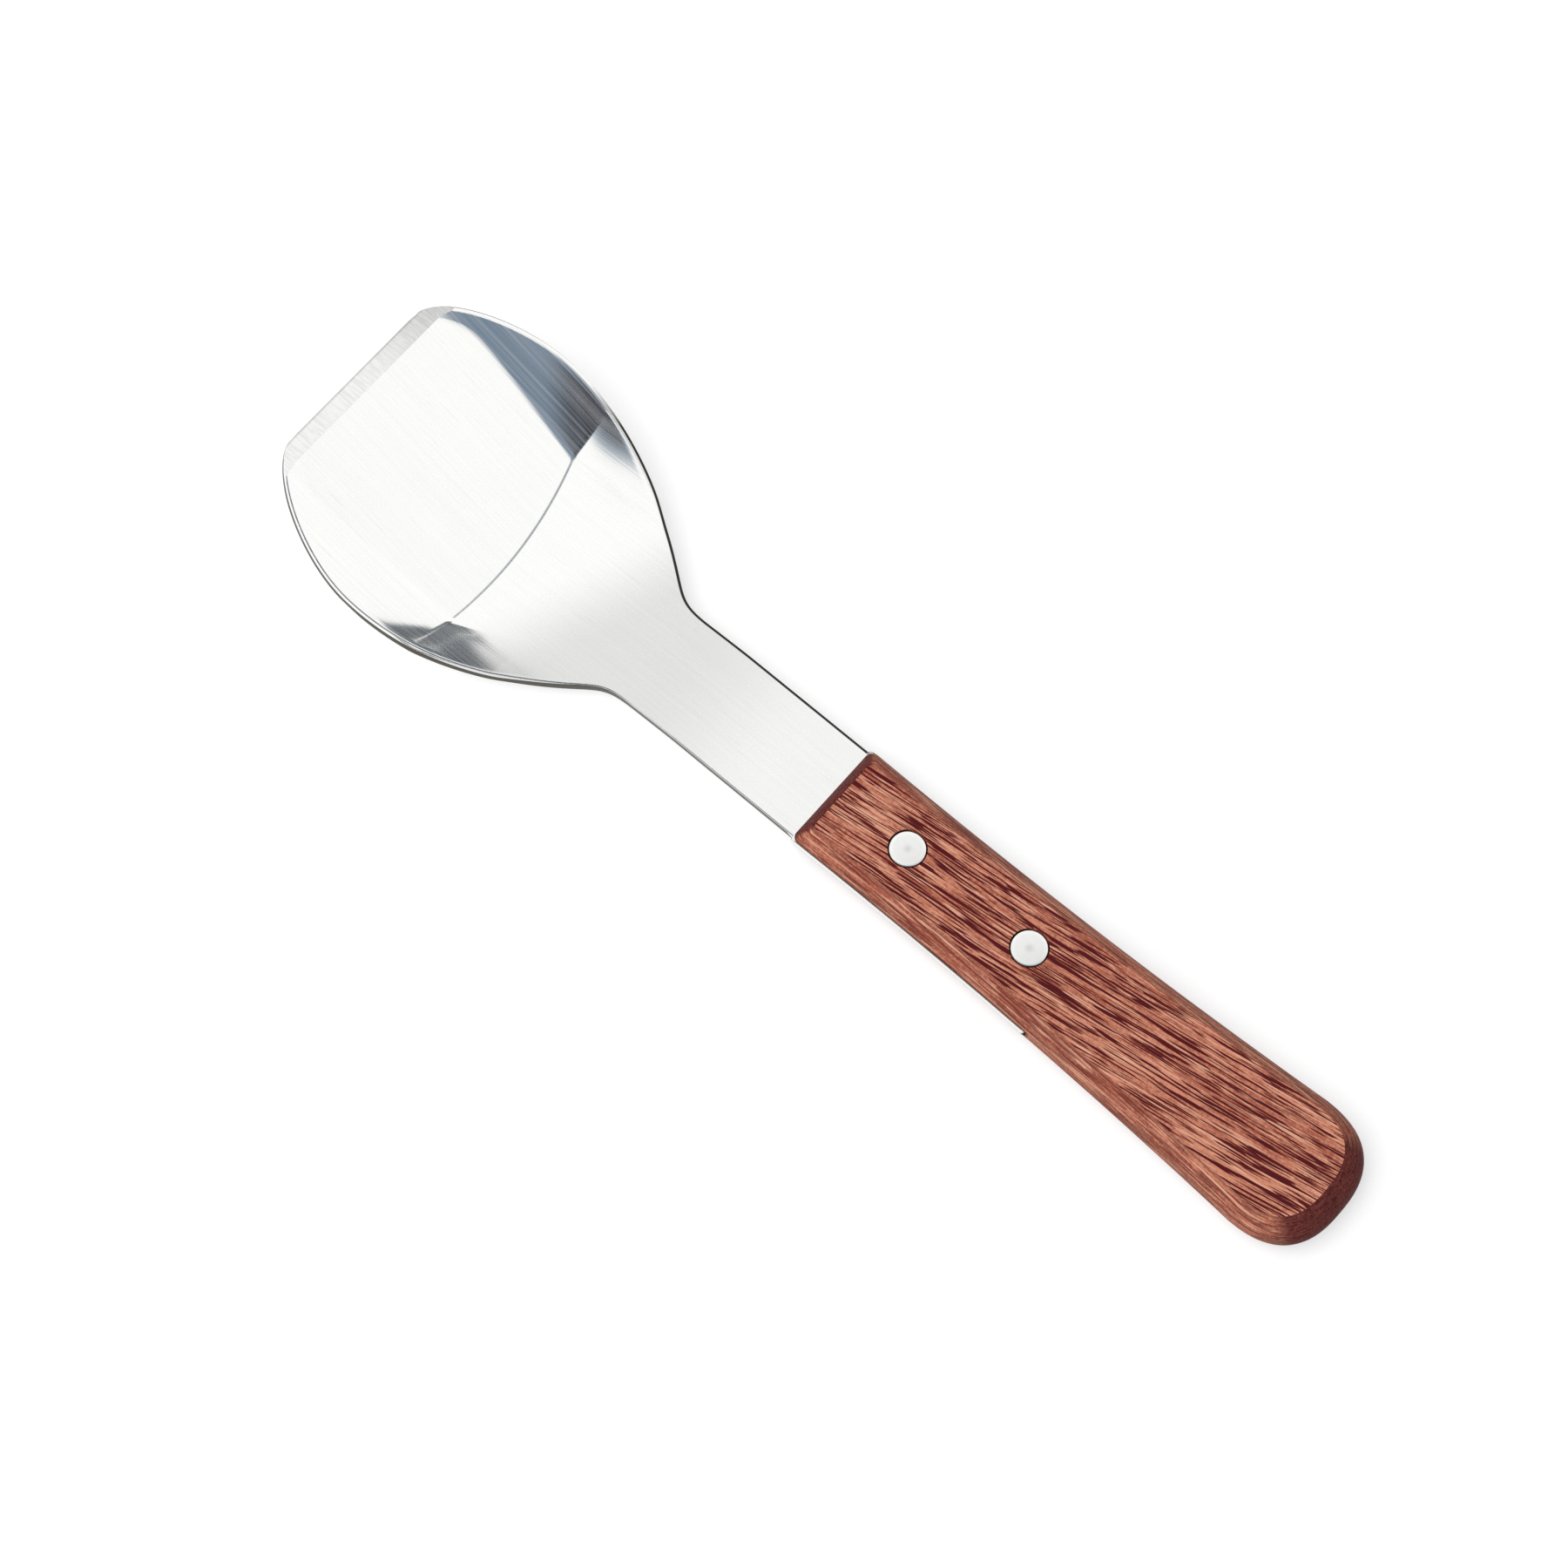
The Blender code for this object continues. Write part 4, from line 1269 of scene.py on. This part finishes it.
def make_handle(settings):
    wood = reddish_hardwood(settings)
    rough = link_mesh("body", bpy.data.meshes.new("body"))
    set_rule(rough, add_handle_rule(), {"Material": wood})
    soften = rough.modifiers.new("eased_edges", "BEVEL")
    soften.width = settings.edge_softness
    soften.segments = ROUND_STEPS
    soften.limit_method = "ANGLE"
    soften.angle_limit = HANDLE_ROUND_ANGLE
    slot_length = TANG_LENGTH + FIT_GAP
    slot_size = (2 * slot_length, BUTT_WIDTH * 2, SHEET + 2 * FIT_GAP)
    cutters = [box_cutter("saw", slot_size, (0.0, 0.0, MIDDLE_Z))]
    hole = BARREL_DIAMETER + 2 * FIT_GAP
    bore = RIVET_HEAD + 2 * FIT_GAP
    depth = RIVET_HEAD_HEIGHT + FIT_GAP
    for x in RIVET_XS:
        drills = (
            (hole, HANDLE_BOTTOM_Z - SHEET, HANDLE_TOP_Z + SHEET),
            (bore, HANDLE_BOTTOM_Z - SHEET, HANDLE_BOTTOM_Z + depth),
            (bore, HANDLE_TOP_Z - depth, HANDLE_TOP_Z + SHEET),
        )
        for diameter, low, high in drills:
            cutters.append(cylinder_cutter("drill", diameter, low, high, x))
    for cutter in cutters:
        cut(rough, cutter)
    handle = finish_mesh(rough, cutters, "wooden_handle")
    mesh = handle.data
    mesh.materials.clear()
    mesh.materials.append(wood)
    for face in mesh.polygons:
        face.material_index = 0
    mesh.shade_smooth()
    mesh.set_sharp_from_angle(angle=HANDLE_SHARP_ANGLE)
    for face in mesh.polygons:
        if abs(face.normal.z) > NEARLY_ONE:
            face.use_smooth = False
    mark_grain(mesh)
    return handle


def mark_grain(mesh):
    """Stores on each face's corners how far it faces sideways, and how far it shows end grain and
    its painted shade.
    """
    flanks = []
    ends = []
    for corner in mesh.corner_normals:
        level = Vector((corner.vector.x, corner.vector.y, 0.0))
        facing = abs(level.x) / max(level.length, LEAST_LEAN)
        flanks.append(held_share((level.length - FLANK_START) / FLANK_RUN))
        ends.append(held_share((facing - END_GRAIN_AND_SHADE_START) / END_GRAIN_AND_SHADE_RUN))
    store_marks(mesh, "flank", flanks, "CORNER")
    store_marks(mesh, "end_grain_and_shade", ends, "CORNER")


def rivet_profiles(settings):
    """The (radius, z) points of each half: the barrel from above and the stem from below."""
    radius = settings.head_diameter / 2
    barrel = BARREL_DIAMETER / 2
    bore = STEM_DIAMETER / 2 + FIT_GAP
    over_lower = HANDLE_BOTTOM_Z + RIVET_HEAD_HEIGHT
    barrel_end = over_lower + FIT_GAP
    stem_end = barrel_end + STEM_ENGAGEMENT
    upper = head_profile(radius, HANDLE_TOP_Z, -1) + [
        (barrel, HANDLE_TOP_Z - RIVET_HEAD_HEIGHT),
        (barrel, barrel_end),
        (bore, barrel_end),
        (bore, stem_end + FIT_GAP),
        (0.0, stem_end + FIT_GAP),
    ]
    lower = head_profile(radius, HANDLE_BOTTOM_Z, 1) + [
        (STEM_DIAMETER / 2, over_lower),
        (STEM_DIAMETER / 2, stem_end),
        (0.0, stem_end),
    ]
    return {"barrel": upper, "stem": lower}


def head_profile(radius, face, inwards):
    """The head from the middle of its slightly crowned face, over its rounded rim, to its back."""
    inner = radius - RIVET_RIM_ROUND
    points = []
    for step in range(CROWN_STEPS + 1):
        out = inner * step / CROWN_STEPS
        points.append((out, face + inwards * RIVET_CROWN * (out / inner) ** 2))
    for step in range(1, RIM_STEPS + 1):
        turn = math.pi / 2 * step / RIM_STEPS
        drop = RIVET_CROWN + RIVET_RIM_ROUND * (1 - math.cos(turn))
        points.append((inner + RIVET_RIM_ROUND * math.sin(turn), face + inwards * drop))
    return points + [(radius, face + inwards * RIVET_HEAD_HEIGHT)]


def make_rivets(settings):
    steel = satin_rivet_steel(settings)
    rule = add_turned_rule()
    made = {}
    for half, profile in rivet_profiles(settings).items():
        for place, x in zip(("front", "rear"), RIVET_XS):
            source = bmesh.new()
            points = [source.verts.new((radius, 0.0, z)) for radius, z in profile]
            for point, following in zip(points, points[1:]):
                source.edges.new((point, following))
            rough = link_mesh("profile", mesh_from("profile", source))
            set_rule(rough, rule, {"Axis Place": x, "Material": steel})
            node = f"{place}_rivet_{half}"
            piece = finish_mesh(rough, [], f"satin_{node}")
            close_mesh(piece.data)
            piece.data.materials.clear()
            piece.data.materials.append(steel)
            piece.data.shade_smooth()
            piece.data.set_sharp_from_angle(angle=RIVET_SHARP_ANGLE)
            made[node] = piece
    return made


def close_mesh(mesh):
    """Merges what lies in one place and turns every face outwards."""
    source = bmesh.new()
    source.from_mesh(mesh)
    bmesh.ops.remove_doubles(source, verts=source.verts, dist=MERGE_DISTANCE / 2)
    bmesh.ops.dissolve_degenerate(source, edges=source.edges, dist=MERGE_DISTANCE / 2)
    bmesh.ops.recalc_face_normals(source, faces=source.faces)
    source.to_mesh(mesh)
    source.free()


def settle(piece, slot, *nodes):
    """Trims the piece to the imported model's box, and lets it ride and stand for its nodes."""
    low, high = (Vector(corner) for corner in CAD_BOX)
    for vertex in piece.data.vertices:
        vertex.co = [min(max(at, least), most) for at, least, most in zip(vertex.co, low, high)]
    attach(piece, "root")
    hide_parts(*nodes)


# Stage


def make_floor(settings):
    source = bmesh.new()
    bmesh.ops.create_circle(source, cap_ends=True, segments=CIRCLE_STEPS, radius=FLOOR_RADIUS)
    bmesh.ops.translate(source, vec=(0.0, 0.0, -FLOOR_DROP), verts=source.verts)
    floor = link_mesh("floor", mesh_from("floor", source))
    floor.data.materials.append(pale_floor(settings))


def aim(azimuth, elevation):
    """The direction with this azimuth and elevation, in degrees."""
    turn = math.radians(azimuth)
    rise = math.radians(elevation)
    return (math.cos(turn) * math.cos(rise), math.sin(turn) * math.cos(rise), math.sin(rise))


def add_facing(tree, direction, azimuth, elevation):
    """The cosine of the angle between a direction and the one that these degrees aim at."""
    toward = Vector(aim(azimuth, elevation))
    return add_vector_math(tree, "DOT_PRODUCT", direction, toward, output="Value")


def make_world(settings):
    """An even sky for the light, white to the camera, with a dark room in the reflections."""
    world = bpy.data.worlds.new("studio")
    bpy.context.scene.world = world
    world.use_nodes = True
    tree = world.node_tree
    direction = add_node(tree, "ShaderNodeTexCoord").outputs["Generated"]
    path = add_node(tree, "ShaderNodeLightPath").outputs
    room = WHITE
    for azimuth, elevation, inner, outer, shade in DARK_OF_THE_ROOM:
        facing = add_facing(tree, direction, azimuth, elevation)
        limits = (math.cos(math.radians(outer)), math.cos(math.radians(inner)))
        patch = add_range(tree, facing, limits, smooth=True)
        room = add_blend(tree, patch, room, linear_colour(shade))
    height = split(tree, direction)[2]
    low = add_range(tree, height, HORIZON_HEIGHTS, (1.0, 0.0), True)
    room = add_blend(tree, low, room, HORIZON)
    glossy = path["Is Glossy Ray"]
    seen = add_math(tree, "MAXIMUM", path["Is Camera Ray"], path["Is Transmission Ray"])
    even = minus(tree, 1.0, add_math(tree, "MAXIMUM", seen, glossy))
    side = add_facing(tree, direction, *BRIGHT_SIDE)
    slope = add_range(tree, side, BRIGHT_SIDE_FACINGS, BRIGHT_SIDE_LIGHT)
    lit = times(tree, even, times(tree, slope, settings.sky_strength))
    mirrored = times(tree, glossy, settings.mirror_strength)
    inputs = {
        "Color": add_blend(tree, glossy, WHITE, room),
        "Strength": plus(tree, lit, mirrored, seen),
    }
    fill_inputs(tree, tree.nodes["Background"], inputs)


def add_key_lamp(power):
    """A large soft square lamp that looks at the tool and doesn't show in its steel."""
    lamp = bpy.data.lights.new("key_lamp", "AREA")
    lamp.size = KEY_SIZE
    lamp.energy = power
    made = bpy.data.objects.new("key_lamp", lamp)
    made.location = KEY_PLACE
    made.rotation_euler = (-Vector(KEY_PLACE)).to_track_quat("-Z", "Y").to_euler()
    made.visible_glossy = False
    bpy.context.scene.collection.objects.link(made)


def make_camera():
    lens = bpy.data.cameras.new("camera")
    lens.sensor_width = CAMERA_SENSOR
    lens.lens = CAMERA_LENS
    lens.clip_start = CAMERA_NEAREST
    camera = bpy.data.objects.new("camera", lens)
    turn = Matrix((CAMERA_RIGHT, CAMERA_UP, CAMERA_BACK)).transposed().to_4x4()
    camera.matrix_world = Matrix.Translation(CAMERA_PLACE) @ turn
    bpy.context.scene.collection.objects.link(camera)
    bpy.context.scene.camera = camera


# Operators


class SPADE_OT_blade(bpy.types.Operator):
    """Make the stamped steel blade with its ground edge"""

    bl_idname = "spade.make_blade"
    bl_label = "Make Blade"

    def execute(self, context):
        settle(make_blade(context.scene.spade_blade), "brushed_steel", "blade")
        return {"FINISHED"}


class SPADE_OT_handle(bpy.types.Operator):
    """Make the slotted hardwood handle"""

    bl_idname = "spade.make_handle"
    bl_label = "Make Handle"

    def execute(self, context):
        settle(make_handle(context.scene.spade_handle), "reddish_hardwood", "handle")
        return {"FINISHED"}


class SPADE_OT_rivets(bpy.types.Operator):
    """Make both halves of the two compression rivets"""

    bl_idname = "spade.make_rivets"
    bl_label = "Make Rivets"

    def execute(self, context):
        for node, piece in make_rivets(context.scene.spade_rivets).items():
            settle(piece, "satin_rivet_steel", node)
        return {"FINISHED"}


class SPADE_OT_stage(bpy.types.Operator):
    """Set the pale floor, the soft light and the camera"""

    bl_idname = "spade.make_stage"
    bl_label = "Make Stage"

    def execute(self, context):
        settings = context.scene.spade_stage
        make_floor(settings)
        make_world(settings)
        add_key_lamp(settings.key_power)
        make_camera()
        context.scene.view_settings.view_transform = "Standard"
        return {"FINISHED"}


class VIEW3D_PT_spade(bpy.types.Panel):
    """The spade's steps and sizes in the sidebar"""

    bl_label = "Ice Cream Spade"
    bl_space_type = "VIEW_3D"
    bl_region_type = "UI"
    bl_category = "Spade"

    def draw(self, context):
        for operator, group in zip(OPERATORS, SETTINGS):
            settings = getattr(context.scene, group)
            box = self.layout.box()
            for name in settings.__annotations__:
                box.prop(settings, name)
            box.operator(operator.bl_idname)


SETTINGS = {
    "spade_blade": SpadeBladeSettings,
    "spade_handle": SpadeHandleSettings,
    "spade_rivets": SpadeRivetSettings,
    "spade_stage": SpadeStageSettings,
}
OPERATORS = (SPADE_OT_blade, SPADE_OT_handle, SPADE_OT_rivets, SPADE_OT_stage)
CLASSES = (*SETTINGS.values(), *OPERATORS, VIEW3D_PT_spade)


def register():
    for made in CLASSES:
        bpy.utils.register_class(made)
    for name, group in SETTINGS.items():
        setattr(bpy.types.Scene, name, PointerProperty(type=group))


def unregister():
    for name in reversed(SETTINGS):
        delattr(bpy.types.Scene, name)
    for made in reversed(CLASSES):
        bpy.utils.unregister_class(made)


def main():
    """Makes every piece and the stage in order."""
    register()
    bpy.ops.spade.make_blade()
    bpy.ops.spade.make_handle()
    bpy.ops.spade.make_rivets()
    bpy.ops.spade.make_stage()


if __name__ == "__main__":
    main()
